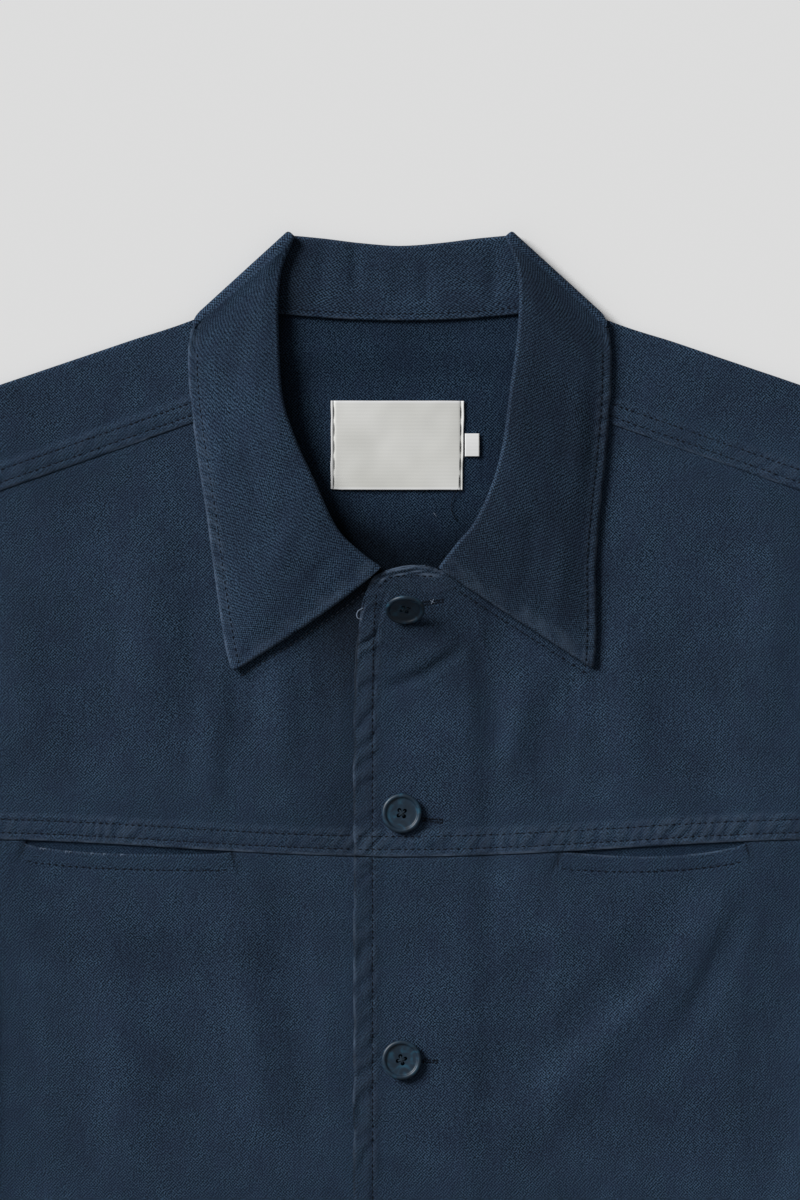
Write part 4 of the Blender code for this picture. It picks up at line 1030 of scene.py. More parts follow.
def makeSleeve(side):
    # a tube: round the top fold, across the upper layer, round the underarm fold, and back below
    length, bottom = sleevePiece["length"], levels["back"]
    toHem = np.array([26, 24, 22.8, 21.9, 21.1, 20, 18, 14, 10, 6, 3, 1.2, 0.4, 0.0])
    down = np.concatenate([np.linspace(0.0, 0.955, sleevePiece["rows"] - len(toHem))[:-1], 1.0 - toHem / length])
    flat = np.concatenate([[0.03, 0.06], np.linspace(0.1, 0.9, 34), [0.94, 0.965]])
    turns = np.radians([-90, -60, -30, 0, 30, 60, 90])
    seamX, seamY = heading(pattern["underarm"], pattern["cuffUnder"])
    rings = []
    for end, order in ((0.0, flat), (1.0, flat[::-1])):
        x, y = sleevePlace(np.full(down.shape, end), down)
        if end == 0.0:
            nextX, nextY = sleevePlace(np.full(down.shape, 0.07), down)
            size = np.hypot(nextX - x, nextY - y)
            inX, inY = (nextX - x) / size, (nextY - y) / size
        else:
            inX, inY, turns = -seamY, seamX, -turns
        top, toCuff = sleeveLevel(x, y, side, down, end)
        radius = (top - bottom) / 2
        for turn in turns:
            into = radius * (1.0 - math.cos(turn))
            rings.append((x + inX * into, y + inY * into, bottom + radius * (1.0 + math.sin(turn)), toCuff))
        for share in order:
            x, y = sleevePlace(np.full(down.shape, share), down)
            level, toCuff = sleeveLevel(x, y, side, down, share)
            rings.append((x, y, level if end == 0.0 else np.full(down.shape, bottom), toCuff))
    x, y, z, edge = (np.array(rows).T for rows in zip(*rings))
    x = signs[side] * x
    v = -down[:, None] * length + 0.0 * x
    grid = facingUp(gridOf(x, y, z, u=runAcross(x, y), v=v, edge=edge, around=2.0), side)
    piece = clothObject(f"{side}Sleeve", [grid], cloth["body"], bodyTwill, closedRings=True)
    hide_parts(f"sleeve_{side}")


collarCreases = [                             # points, height, half width
    ([(67, 226), (65, 196), (60, 172)], -0.55, 4.5), ([(82, 218), (79, 190), (77, 166)], 0.45, 6.0),
    ([(74, 206), (71.5, 168)], -0.35, 3.5), ([(34, 214), (46, 220), (60, 227)], 0.34, 2.2),
    ([(37, 211), (50, 216.5)], -0.25, 2.4), ([(90, 300), (88, 240)], 0.35, 7.0),
    ([(-70, 330), (-76, 270)], 0.35, 9.0), ([(-52, 228), (-62, 196)], 0.3, 8.0),
    ([(-30, 206), (-46, 190)], -0.3, 7.0), ([(-24.5, 363), (-22.0, 340)], -0.85, 3.0),
    ([(-40, 364), (-39, 336)], -0.5, 5.0), ([(12, 358), (13, 334)], -0.4, 5.0),
    ([(47, 363), (44, 336)], -0.8, 4.0), ([(-8, 358), (-6, 340)], 0.3, 6.0),
    ([(-96, 300), (-92, 262), (-89, 236)], 0.35, 9.0), ([(-78, 264), (-72, 232)], -0.35, 7.0),
]
collarPiece = {
    "sections": 150, "backSections": 60, "wrapTurns": np.linspace(0.0, 180.0, 17),
    "stand": np.array([0.0, 0.02, 0.05, 0.09, 0.14, 0.22, 0.32, 0.44, 0.58, 0.72, 0.86, 1.0]),
    "roll": np.radians([-67.5, -45.0, -22.5, 0.0, 22.5, 45.0, 67.5]),
    "fallEdge": [9.0, 7.6, 6.6, 5.8, 5.2, 4.7, 4.2, 3.7, 3.1, 2.4, 1.7, 1.1, 0.6, 0.25, 0.0],
    "fallSteps": 18, "length": 172.0,         # mm of front collar, from its end to the shoulder
    "frontEnd": (0.0, 0.15, 0.4, 0.75, 1.2, 1.8, 2.5, 3.2, 3.9, 4.6, 5.4, 6.4, 7.6, 9.0),
    "neckIn": 1.4, "arch": 0.5, "footLap": 2.0, "footRise": 0.55,
    "seam": {"rows": (collar["topstitch"],), "lift": 0.1, "ropes": 0.34, "pitch": 8.0, "trough": 0.14},
    "fineSeam": {"rows": (collar["topstitch"],), "lift": 0.0, "ropes": 0.12, "pitch": 4.0, "seed": 83,
                 "trough": 0.04},
    "seamSeeds": {"right": 81, "left": 82}, "unevenness": ((0.16, 24.0, 85), (0.07, 9.0, 86)),
    "deepest": 0.8, "puff": 0.8,              # the fall is puffed, so that its troughs stay clear of the cloth below
    "clearance": 0.12, "rub": 0.32, "fineRub": 0.22, "edgeRub": 0.24, "rollRub": 0.05,
    # painted shade: on the left side's fall and stand, and on the back stand, more near the right peak
    "paintedShadeFall": 0.44, "paintedShadeFallEdge": 0.28, "paintedShadeStand": 0.15, "paintedShadeBack": 0.12, "paintedShadeCorner": 0.42,
}


def coverTop(x, y, side):
    # top of whatever cloth lies below the collar's fall
    top, _, _ = upperSurface(x, y, side)
    away, _, _ = nearestOn(np.abs(x), y, yokeSeam)
    (x0, y0), (x1, y1) = yokeSeam
    yoke = frontLevel(x, y, side) + backPiece["yokeSeam"]["lift"] * within(away - 10.6, 3.0) + 0.15
    top = np.where(y > y0 + (y1 - y0) * (np.abs(x) - x0) / (x1 - x0), yoke, top)
    if side == "right":
        top = np.maximum(top, levels["front"] + 0.3 + (levels["lap"] + 0.3) * softStep((x + 38.0) / 11.0))
    return top + cloth["body"] / 2


def collarSection(tip, centre, neck, edge, standZ, fallZ, neckZ, edgeZ, bow=0.0, arch=0.0):
    # up the stand, over the roll towards its tip, and down the fall: x, y, z, zone, and distance to the edge
    parts = []
    for share in collarPiece["stand"]:
        x, y = mix(neck, centre, share)
        parts.append((x, y, neckZ + (standZ - neckZ) * share, 0.0, math.dist(neck, centre) * share))
    middle, rise = (standZ + fallZ) / 2, (fallZ - standZ) / 2
    for turn in collarPiece["roll"]:
        out = collar["rollRadius"] * math.cos(turn)
        parts.append((centre[0] + tip[0] * out, centre[1] + tip[1] * out, middle + rise * math.sin(turn), 1.0,
                      farAway))
    length = math.dist(centre, edge)
    down = heading(centre, edge)
    near = [1.0 - distance / length for distance in collarPiece["fallEdge"]]
    shares = list(np.linspace(0.0, near[0], collarPiece["fallSteps"])[:-1]) + near
    for share in shares:
        x, y = mix(centre, edge, share)
        bend = bow * math.sin(math.pi * max(share, 0.0) ** 0.7)
        x, y = x + down[1] * bend * math.copysign(1.0, -edge[0]), y - abs(down[0]) * bend
        z = fallZ + (edgeZ - fallZ) * share + arch * math.sin(math.pi * share)
        parts.append((x, y, z, 2.0 + share, (1.0 - share) * length))
    return parts


def frontSections(side):
    made = []
    radius, length = collar["rollRadius"], collarPiece["length"]
    places = np.concatenate([np.array(collarPiece["frontEnd"][:-1]) / length,
                             np.linspace(collarPiece["frontEnd"][-1] / length, 1.0, collarPiece["sections"])])
    for place in places:
        row = dict(zip(collar["columns"], curveAt(collar[side], place)))
        up = heading(*(curveAt(collar[side], min(max(place + step, 0.0), 1.0)) for step in (-0.02, 0.02)))
        tip = (up[1], -up[0]) if side == "right" else (-up[1], up[0])
        roll, neck, edge = ((row[name + "X"], row[name + "Y"]) for name in ("roll", "neck", "edge"))
        inset = radius + cloth["collar"] / 2
        centre = (roll[0] - tip[0] * inset, roll[1] - tip[1] * inset)
        towards = heading(neck, roll)
        neckIn = (neck[0] + towards[0] * collarPiece["neckIn"], neck[1] + towards[1] * collarPiece["neckIn"])
        neckZ = heightAt(lambda x, y: frontLevel(x, y, side), *neck)
        made.append(collarSection(tip, centre, neckIn, edge, row["rollZ"] - radius, row["rollZ"] + radius, neckZ,
                                  row["edgeZ"], row["bow"], collarPiece["arch"]))
    return made


def wrapSection(sign, turn):
    # where the collar goes round the shoulder, a turn of 0 being on top
    peak, neck, edge = [(sign * p[0], p[1]) for p in (collar["peak"], collar["peakNeck"], collar["peakEdge"])]
    standOut, fallOut = heading(neck, peak), heading(edge, peak)
    tip = heading((0.0, 0.0), (standOut[0] + fallOut[0], standOut[1] + fallOut[1]))
    under, over = collar["wrapShares"]
    edge = mix(peak, edge, under + over * max(math.cos(math.radians(turn)), 0.0))
    parts = collarSection(tip, peak, neck, edge, 0.0, 1.0, 0.0, 1.0)
    standRadius = collar["standRadius"]
    fallRadius = standRadius + 2 * collar["rollRadius"]
    made = []
    for x, y, share, zone, distance in parts:
        along = mix(standOut, fallOut, share)
        outward = (-along[1], along[0]) if sign < 0 else (along[1], -along[0])
        outward = (abs(outward[0]) * sign, abs(outward[1]))
        radius = standRadius + (fallRadius - standRadius) * share
        push = radius * math.sin(math.radians(turn))
        made.append((x + outward[0] * push, y + outward[1] * push,
                     levels["fall"] + fallRadius + radius * math.cos(math.radians(turn)), zone, distance))
    return made


def backSections():
    # behind the neck the fall lies under the back, and the stand's foot laps onto the back's neck edge
    peak, neck, edge = collar["peak"], collar["peakNeck"], collar["peakEdge"]
    half = [(*peak, neck[0] * 0.97, *edge)] + [list(row) for row in collar["back"]]
    rows = [(-r[0], r[1], -r[2], -r[3], r[4]) for r in half] + [tuple(r) for r in half[-2::-1]]
    standZ = levels["fall"] + 2 * collar["rollRadius"]
    made = []
    for place in np.linspace(0.0, 1.0, collarPiece["backSections"])[1:-1]:
        rollX, rollY, neckX, edgeX, edgeY = curveAt(rows, place)
        lap = float(softStep((70.0 - abs(neckX)) / 8.0))
        neckXY = (neckX, float(backNeckY(neckX)) + 0.6 - collarPiece["footLap"] * lap)
        made.append(collarSection((0.0, 1.0), (rollX, rollY), neckXY, (edgeX, edgeY), standZ, levels["fall"],
                                  standZ + collarPiece["footRise"] * lap, levels["fall"]))
    return made


def makeCollar():
    # right front, round the right shoulder, behind the neck, round the left shoulder and down the left front
    parts = [frontSections("right"), [wrapSection(-1, turn) for turn in collarPiece["wrapTurns"]], backSections(),
             [wrapSection(1, turn) for turn in collarPiece["wrapTurns"][::-1]], frontSections("left")[::-1]]
    ends = np.cumsum([len(part) for part in parts])
    data = np.array(sum(parts, []))
    x, y, z, zone, distance = (data[:, :, k].copy() for k in range(5))
    isFall = zone >= 2.0
    rubbed, paintedShade = np.zeros(x.shape), np.zeros(x.shape)
    edge = np.where(isFall, distance, farAway)
    fallPoints = []
    for side, rows in (("right", slice(0, ends[0])), ("left", slice(ends[3], None))):
        first = 0 if side == "right" else -1
        frontLine = [(a, b) for a, b, f in zip(x[first], y[first], isFall[first]) if f]
        xs, ys, fall = x[rows], y[rows], isFall[rows]
        toFront, run, _ = nearestOn(xs, ys, frontLine)
        # the corner of the point is rounded
        radius = collar["cornerRadius"]
        a, b = (np.clip(1.0 - away / radius, 0.0, 1.0) for away in (toFront, distance[rows]))
        reach = np.hypot(a, b)
        pull = np.where((a > 0) & (b > 0) & fall, 1.0 - np.maximum(a, b) / np.maximum(reach, 1e-6), 0.0)
        cornerX, cornerY = frontLine[-1]
        inside = 8 if side == "right" else -9
        insideX, insideY = xs[inside][-8], ys[inside][-8]
        size = math.hypot(insideX - cornerX, insideY - cornerY)
        x[rows] = xs + pull * radius * reach * (insideX - cornerX) / size
        y[rows] = ys + pull * radius * reach * (insideY - cornerY) / size
        nearest = np.where(fall, np.minimum(distance[rows], toFront), farAway)
        edge[rows] = nearest
        along = np.where(toFront < distance[rows], run, y[rows])
        shape, puckers = seamRelief(nearest, along, seed=collarPiece["seamSeeds"][side], **collarPiece["seam"])
        fine, finePuckers = seamRelief(nearest, along, **collarPiece["fineSeam"])
        soft = foldHeight(x[rows], y[rows], collarCreases)
        for height, grain, seed in collarPiece["unevenness"]:
            soft = soft + height * softNoise(x[rows], y[rows], grain, seed)
        deepest = collarPiece["deepest"]
        soft = np.where(soft < 0.0, -deepest * np.tanh(-soft / deepest), soft)
        soft = soft + collarPiece["puff"] * softStep((nearest - 3.0) / 14.0)
        lifted = z[rows] + (shape + fine + soft) * softStep((zone[rows] - 2.0) / 0.12)
        clearance = collarPiece["clearance"]
        floor = coverTop(x[rows], y[rows], side) + clearance + cloth["collar"] / 2 + clearance * shape
        z[rows] = np.where(fall & (zone[rows] > 2.15), np.maximum(lifted, floor), np.where(fall, lifted, z[rows]))
        patchy = np.clip(0.55 + 0.8 * softNoise(along, nearest, 6.0, 84), 0.0, 1.0)
        edgeRub = collarPiece["edgeRub"] * within(nearest, 1.3) * patchy
        rub = puckers * collarPiece["rub"] + finePuckers * collarPiece["fineRub"] + edgeRub
        rubbed[rows] = np.where(fall, rub, 0.0)
        # painted shade on the left side's collar, which slopes away from the lamp: most at the roll, less at the edge,
        # a little on the stand
        if side == "left":
            paling = collarPiece["paintedShadeFall"] - collarPiece["paintedShadeFallEdge"]
            paintedShade[rows] = np.where(fall, collarPiece["paintedShadeFall"] - paling * (zone[rows] - 2.0),
                                   collarPiece["paintedShadeStand"])
        fallPoints.append(np.stack([x[rows][fall], y[rows][fall], z[rows][fall]], axis=1))
    back = slice(ends[1], ends[2])
    standing, toFoot = zone[back] == 0.0, distance[back]
    # painted shade over the back stand, deepest near the right peak under the roll
    paintedShade[back] = collarPiece["paintedShadeBack"] + collarPiece["paintedShadeCorner"] * standing * within(x[back] + 54.0, 15.0)
    ridge = 0.25 * crest(toFoot, 1.1, 0.9) - 0.25 * crest(toFoot, 3.0, 0.8)
    folds = foldHeight(x[back], y[back], collarCreases) * softStep(toFoot / 6.0)
    z[back] = z[back] + np.where(standing, folds + ridge, 0.0)
    edge[back] = np.where(standing, toFoot, edge[back])
    rubbed = rubbed + np.where(zone == 1.0, collarPiece["rollRub"], 0.0)
    middle = x.shape[1] // 3
    runs = np.hypot(np.diff(x[:, middle]), np.diff(y[:, middle]))
    v = np.concatenate([[0.0], np.cumsum(runs)])[:, None] + 0.0 * x
    grid = gridOf(x, y, z, u=runAcross(x, y, z), v=v, edge=edge, rubbed=rubbed, paintedShade=paintedShade)
    piece = clothObject("collarCloth", [grid], cloth["collar"], collarTwill)
    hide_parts("collar")
    return fallPoints


for side in signs:
    makeSleeve(side)
collarFalls = makeCollar()
print("the sleeves and the collar are made")


labels = {
    "neckLabel": {"box": (-34.8, 240.2, 32.3, 285.0), "node": "neck_label", "fold": 1.5, "foldDepth": 0.42,
                  "puff": 0.45, "unevenness": ((0.15, 17.0, 91, 6.0), (0.10, 8.0, 92, 4.0))},
    "sizeTab": {"box": (32.7, 257.0, 40.0, 268.5), "node": "size_tab", "puff": 0.25, "lean": 0.25},
}
labelLevel, labelThickness = 1.25, 0.7


def labelHeight(x, y, name):
    x0, y0, x1, y1 = labels[name]["box"]
    across, up = (x - x0) / (x1 - x0), (y - y0) / (y1 - y0)
    z = backLevel(x, y) + labelLevel + 0.12 * (1.0 + softNoise(x, y, 26.0, 11)) * softStep((y - 180) / 40)
    form = labels[name]
    if name == "sizeTab":
        return z + form["puff"] * np.sin(math.pi * np.clip(up, 0, 1)) + form["lean"] * across
    inward = np.minimum(x - x0, x1 - x)
    z = z - form["foldDepth"] * crest(inward, form["fold"], 0.55)
    middle = np.sin(math.pi * np.clip(across, 0, 1))
    z = z + form["puff"] * middle * softStep(inward / 8.0) * (0.4 + 0.6 * within(y - y0, 22.0))
    for height, size, seed, reach in form["unevenness"]:
        z = z + height * softNoise(x, y, size, seed) * softStep(inward / reach)
    return z


def makeLabel(name):
    x0, y0, x1, y1 = labels[name]["box"]
    sides = np.array([0.0, 0.35, 0.7, 1.0, 1.25, 1.5, 1.75, 2.0, 2.4, 3.0, 4.0, 5.5])
    ends = np.array([0, 0.3, 0.7, 1.3])
    if name == "sizeTab":
        columns, count = np.linspace(x0, x1, 14), 14
    else:
        columns = np.concatenate([x0 + sides, np.linspace(x0 + 7.0, x1 - 7.0, 40), (x1 - sides)[::-1]])
        count = 30
    rows = np.concatenate([y0 + ends, np.linspace(y0 + 2, y1 - 2, count), y1 - ends[::-1]])
    x, y = np.meshgrid(columns, rows)
    edge = np.minimum(y - y0, y1 - y)
    if name == "sizeTab":
        # the tab is all edge, so the edges' painted highlight covers it
        edge = edge * 0.0 + 0.4
    else:
        # cut a little askew, with a wavy side and a lifted corner
        askew = 0.9 * (y - y1) / (y1 - y0) * np.clip(x / x1, 0.0, 1.0)
        x = x + askew + 0.18 * lineNoise(y, 6.0, 93) * (np.abs(x) > 28)
        y = y + 0.35 * np.clip(1.0 - (x - x0) / 5.0, 0.0, 1.0) * (y < y0 + 1.5) + 0.15 * lineNoise(x, 12.0, 94)
        edge = np.minimum(edge, np.minimum(x - x0, x1 - x))
    grid = gridOf(x, y, labelHeight(x, y, name), edge=np.maximum(edge, 0.0))
    piece = clothObject(name, [grid], labelThickness, labelTape)
    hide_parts(labels[name]["node"])


buttons = {
    "places": [(2.5, 181.2, 46.0), (0.9, 77.6, 0.0), (0.8, -46.3, 0.0), (0.8, -170.1, 0.0), (0.8, -294.1, 0.0)],
    "profile": [(0.0, 0.0), (4.0, 0.0), (7.2, 0.05), (8.6, 0.45), (9.5, 1.1), (9.92, 1.75), (9.98, 2.15), (9.8, 2.6),
                (9.4, 2.95), (8.9, 3.1), (8.4, 3.02), (8.05, 2.75), (7.85, 2.4), (7.65, 2.16), (7.35, 2.05), (6.6, 2.06),
                (5.0, 1.98), (3.4, 1.86), (1.6, 1.78), (0.0, 1.76)],
    "holeRadius": 0.98, "holeReach": 2.8 / math.sqrt(2), "holeTurn": -20.0, "sides": 56,
    "turns": (0, 12, -8, 30, -22),            # degrees, how each one came to rest
    "thread": ((-1.0, 0.2), (-0.92, 1.5), (-0.6, 2.0), (0.0, 2.12), (0.6, 2.0), (0.92, 1.5), (1.0, 0.2)),
    "threadRadius": 0.14, "threadApart": 0.16, "threadCross": 0.12, "shankRadius": 1.5,
}


def latheMesh(name, profile, sides):
    points, faces = [], []
    rings = []
    for radius, height in profile:
        if radius == 0.0:
            rings.append([len(points)])
            points.append((0.0, 0.0, height * mm))
            continue
        rings.append(list(range(len(points), len(points) + sides)))
        for step in range(sides):
            angle = 2 * math.pi * step / sides
            points.append((radius * math.cos(angle) * mm, radius * math.sin(angle) * mm, height * mm))
    for low, high in zip(rings, rings[1:]):
        for step in range(sides):
            nxt = (step + 1) % sides
            if len(low) == 1:
                faces.append((low[0], high[nxt], high[step]))
            elif len(high) == 1:
                faces.append((low[step], low[nxt], high[0]))
            else:
                faces.append((low[step], low[nxt], high[nxt], high[step]))
    mesh = bpy.data.meshes.new(name)
    mesh.from_pydata(points, [], faces)
    return mesh


def makeButtonMesh():
    # a turned blank, drilled with four holes
    blank = linked("buttonBlank", latheMesh("buttonBlank", buttons["profile"], buttons["sides"]))
    r, reach = buttons["holeRadius"], buttons["holeReach"]
    drills = []
    for step in range(4):
        angle = math.radians(buttons["holeTurn"] + 45.0 + 90.0 * step)
        drill = linked("drill", latheMesh("drill", [(0, -2), (r, -2), (r, 1.4), (r * 1.25, 2.6), (0, 2.6)], 20))
        drill.location = (reach * math.cos(angle) * mm, reach * math.sin(angle) * mm, 0.0)
        cut = blank.modifiers.new("hole", "BOOLEAN")
        cut.operation, cut.solver, cut.object = "DIFFERENCE", "EXACT", drill
        drills.append(drill)
    bpy.context.view_layer.update()
    mesh = bpy.data.meshes.new_from_object(blank.evaluated_get(bpy.context.evaluated_depsgraph_get()))
    for spare in drills + [blank]:
        bpy.data.objects.remove(spare, do_unlink=True)
    mesh.shade_smooth()
    mesh.set_sharp_from_angle(angle=math.radians(42))
    mesh.materials.clear()
    mesh.materials.append(buttonResin)
    return mesh


def tubeAlong(path, radius, sides=6):
    # points and faces of a closed tube along a path, in mm
    points = []
    path = np.array(path, float)
    for k, here in enumerate(path):
        ahead = path[min(k + 1, len(path) - 1)] - path[max(k - 1, 0)]
        ahead = ahead / (np.linalg.norm(ahead) or 1.0)
        across = np.cross(ahead, (0.0, 0.0, 1.0))
        if np.linalg.norm(across) < 0.2:
            across = np.cross(ahead, (1.0, 0.0, 0.0))
        across = across / np.linalg.norm(across)
        up = np.cross(across, ahead)
        for step in range(sides):
            angle = 2 * math.pi * step / sides
            points.append(tuple((here + radius * (across * math.cos(angle) + up * math.sin(angle))) * mm))
    return points, tubeFaces(0, len(path), sides)


def smoothPath(points, count):
    return curveIndexed(points, np.linspace(0, len(points) - 1, count))


def turnedOver(point, turn, lean):
    # a point of a button, turned in its plane and then leant on the cloth
    px, py, pz = point
    px, py = px * math.cos(turn) - py * math.sin(turn), px * math.sin(turn) + py * math.cos(turn)
    return np.array((px, py * math.cos(lean) - pz * math.sin(lean), py * math.sin(lean) + pz * math.cos(lean)))


def makeButtons():
    blank = makeButtonMesh()
    threads = []
    for number, (x, y, tilt) in enumerate(buttons["places"], start=1):
        low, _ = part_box(f"button_{number}")
        lean, turn = math.radians(tilt), math.radians(buttons["turns"][number - 1])
        lowest = min(h * math.cos(lean) - r * math.sin(lean) for r, h in buttons["profile"])
        place = np.array((x, y, low[2] / mm - lowest))
        mesh = blank.copy()
        for vertex in mesh.vertices:
            vertex.co = turnedOver(vertex.co, turn, lean) + place * mm
        piece = linked(f"button{number}", mesh)
        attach(piece, "root")
        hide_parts(f"button_{number}")
        for step in (0, 1):                   # crossed thread through the four holes
            angle = math.radians(buttons["holeTurn"] + 45.0 + 90.0 * step)
            dx, dy = math.cos(angle), math.sin(angle)
            for apart in (-buttons["threadApart"], buttons["threadApart"]):
                path = []
                for share, height in buttons["thread"]:
                    along = buttons["holeReach"] * share
                    over = height + (buttons["threadCross"] * step if share == 0.0 else 0.0)
                    point = (dx * along - dy * apart, dy * along + dx * apart, over)
                    path.append(turnedOver(point, turn, lean) + place)
                threads.append(tubeAlong(smoothPath(path, 15), buttons["threadRadius"]))
        foot = (x, y, heightAt(onLeftFront(y), x, y) - cloth["body"] / 2 - 0.5)
        shank = [turnedOver((0, 0, height), turn, lean) + place for height in (0.3, -0.1)] + [foot]
        threads.append(tubeAlong(shank, buttons["shankRadius"], 10))
    threadObject("buttonThread", threads, buttonThread)


buttonhole = {
    "pitch": 0.62, "reach": 1.35, "outer": (-0.45, 0.4), "inner": (-0.25, 0.35), "lean": (-0.35, 0.5),
    "places": [(-2.0, 180.6, 21.6, 184.4), (-2.6, 75.8, 21.4, 73.4), (-2.6, -46.6, 18.5, -47.4),
               (-2.6, -170.4, 19.4, -170.6), (-2.6, -294.4, 19.4, -294.8)],
}


def purledHole(x0, y0, x1, y1, seed):
    # a worked buttonhole: close cross stitches along both sides of the slit, and a bar at the outer end
    parts = []
    height = onLeftFront(y0)
    size = math.hypot(x1 - x0, y1 - y0)
    dx, dy = (x1 - x0) / size, (y1 - y0) / size
    rng = np.random.default_rng(seed)
    for side in (-1, 1):
        for run in np.arange(0.0, size, buttonhole["pitch"]):
            far = buttonhole["reach"] + rng.uniform(*buttonhole["outer"])
            near = rng.uniform(*buttonhole["inner"])
            lean = rng.uniform(*buttonhole["lean"])
            ends = [(x0 + dx * along - dy * side * out, y0 + dy * along + dx * side * out)
                    for along, out in ((run, near), (run + lean, far))]
            parts.append(sewRow(ends, height, length=far - near - 0.1, gap=0.08, width=0.52, seed=seed))
    for across in np.arange(-1.1, 1.2, 0.5):
        ends = [(x1 + along * dx - dy * across, y1 + along * dy + dx * across) for along in (-0.5, 0.5)]
        parts.append(sewRow(ends, height, length=0.95, gap=0.1, width=0.45, seed=seed + 2))
    return parts


def onUpper(side):
    return lambda x, y: upperSurface(x, y, side)[0] + cloth["body"] / 2


def onLower(side):
    def height(x, y):
        x0, x1 = pocket[side]
        distance = chestY(x) - y - np.where((x > x0) & (x < x1), mouthGap(x, side), 0.0)
        return lowerSurface(x, y, side, distance)[0] + cloth["body"] / 2
    return height


def onLeftFront(y):
    # the upper or the lower left front, whichever is at this height
    return onUpper("left") if y > pattern["chestLow"] else onLower("left")


def onYoke(side):
    return lambda x, y: frontLevel(x, y, side) + yokeRelief(x, y, side)[0] + cloth["body"] / 2


def onFall(points):
    def height(x, y):
        near = np.argsort((points[:, 0] - x[0]) ** 2 + (points[:, 1] - y[0]) ** 2)[:3]
        return np.array([points[near, 2].mean() + cloth["collar"] / 2])
    return height


def offsetLine(line, distance):
    # a line moved sideways to its left in plan
    made = []
    for k, point in enumerate(line):
        ahead = heading(line[max(k - 1, 0)], line[min(k + 1, len(line) - 1)])
        made.append((point[0] - ahead[1] * distance, point[1] + ahead[0] * distance))
    return made


def sewYoke(side):
    (ax, ay), (bx, by) = yokeSeam
    size = math.hypot(bx - ax, by - ay)
    made = []
    for row in backPiece["yokeSeam"]["rows"]:
        nx, ny = -(by - ay) / size * row, (bx - ax) / size * row
        line = [(signs[side] * (ax + nx + (bx - ax) * s), ay + ny + (by - ay) * s)
                for s in np.linspace(0.02, 0.995, 24)]
        made.append(sewRow(line, onYoke(side), seed=int(row)))
    return made


def sewChest(side):
    edgeX = pattern["frontEdge"]["left"] + signs[side]
    xs = np.linspace(signs[side] * 286.0, edgeX, 80)
    return [sewRow([(px, float(chestY(px)) + row) for px in xs], onUpper(side), seed=int(row) + 3)
            for row in frontPiece["chestSeam"]["rows"]]


def sewPocket(side):
    # the row below the lip, and a slanting tack at each end of the mouth
    x0, x1 = pocket[side]
    below = pocket["lipStitch"]
    lip = [(px, float(chestY(px)) - float(mouthGap(px, side)) * float(within(below, pocket["gapReach"])) - below)
           for px in np.linspace(x0 + 1.0, x1 - 1.0, 40)]
    made = [sewRow(lip, onLower(side), length=2.0, gap=1.4, width=0.7, seed=17)]
    for end, outward in ((x0, -0.28), (x1, 0.28)):
        for step in range(6):
            px, py = end + outward * step, float(chestY(end)) - 1.6 - 0.95 * step
            made.append(sewRow([(px - 0.7, py), (px + 0.7, py - 0.25)], onLower(side), length=1.3, gap=0.1,
                               width=0.42, seed=step))
    return made


def sewHem(side):
    hemY = pattern["hemCorner"][1] + frontPiece["hemSeam"]["rows"][0]
    xs = np.linspace(signs[side] * 284.0, pattern["frontEdge"]["left"] + signs[side], 60)
    return [sewRow([(px, hemY) for px in xs], onLower(side), length=2.8, seed=23)]


def sewFront():
    # the placket's row on both panels, and the neck edge's
    x = pattern["frontEdge"]["left"] + placket["seam"]["rows"][0]
    upper = [(x + 1.9, 187.5), (x + 1.0, 176.0), (x + 0.3, 160.0), (x, 130.0), (x, 57.0)]
    neck = [(16.5, 196.6), (4.0, 197.4), (-6.0, 196.0), (-11.5, 190.5)]
    return [sewRow(upper, onUpper("left"), seed=31), sewRow([(x, 54.6), (x, -369.0)], onLower("left"), seed=32),
            sewRow(neck, onUpper("left"), seed=33)]


def sewBody():
    for name, sew in (("yoke", sewYoke), ("chest", sewChest)):
        threadObject(f"{name}Stitches", sew("right") + sew("left"))
    threadObject("frontStitches", sewFront())
    for name, sew in (("pocket", sewPocket), ("hem", sewHem)):
        threadObject(f"{name}Stitches", sew("right") + sew("left"))
    holes = [purledHole(*place, 40 + number) for number, place in enumerate(buttonhole["places"])]
    threadObject("buttonholes", sum(holes, []))


def sewCollar():
    parts = []
    inset = collar["topstitch"]
    for side, points in zip(signs, collarFalls):
        rows = [dict(zip(collar["columns"], row)) for row in collar[side]]
        outline = [(row["edgeX"], row["edgeY"]) for row in rows]
        edge = [curveAt(outline, s) for s in np.linspace(0.0, 0.93, 60)]
        line = offsetLine(edge, signs[side] * inset)
        perSection = collarPiece["fallSteps"] - 1 + len(collarPiece["fallEdge"])
        front = points[:perSection] if side == "right" else points[-perSection:]
        frontLine = offsetLine([(p[0], p[1]) for p in front], -signs[side] * inset)
        toEdge = [heightAt(lambda x, y: nearestOn(x, y, edge)[0], *point) for point in frontLine]
        meet = min(range(len(frontLine)), key=lambda k: abs(toEdge[k] - inset))
        first = min(range(len(line)), key=lambda k: math.dist(line[k], frontLine[meet]))
        parts.append(sewRow(frontLine[2:meet + 1], onFall(points), length=2.1, seed=51))
        parts.append(sewRow(line[first:], onFall(points), length=2.1, seed=52))
    foot = [(px, float(backNeckY(px)) + 0.6 - collarPiece["footLap"] + 3.1) for px in np.linspace(-60.0, 60.0, 60)]
    top = levels["fall"] + 2 * collar["rollRadius"] + 0.3 + cloth["collar"] / 2
    parts.append(sewRow(foot, lambda x, y: np.full(x.shape, top), length=2.1, seed=53))
    threadObject("collarStitches", parts)


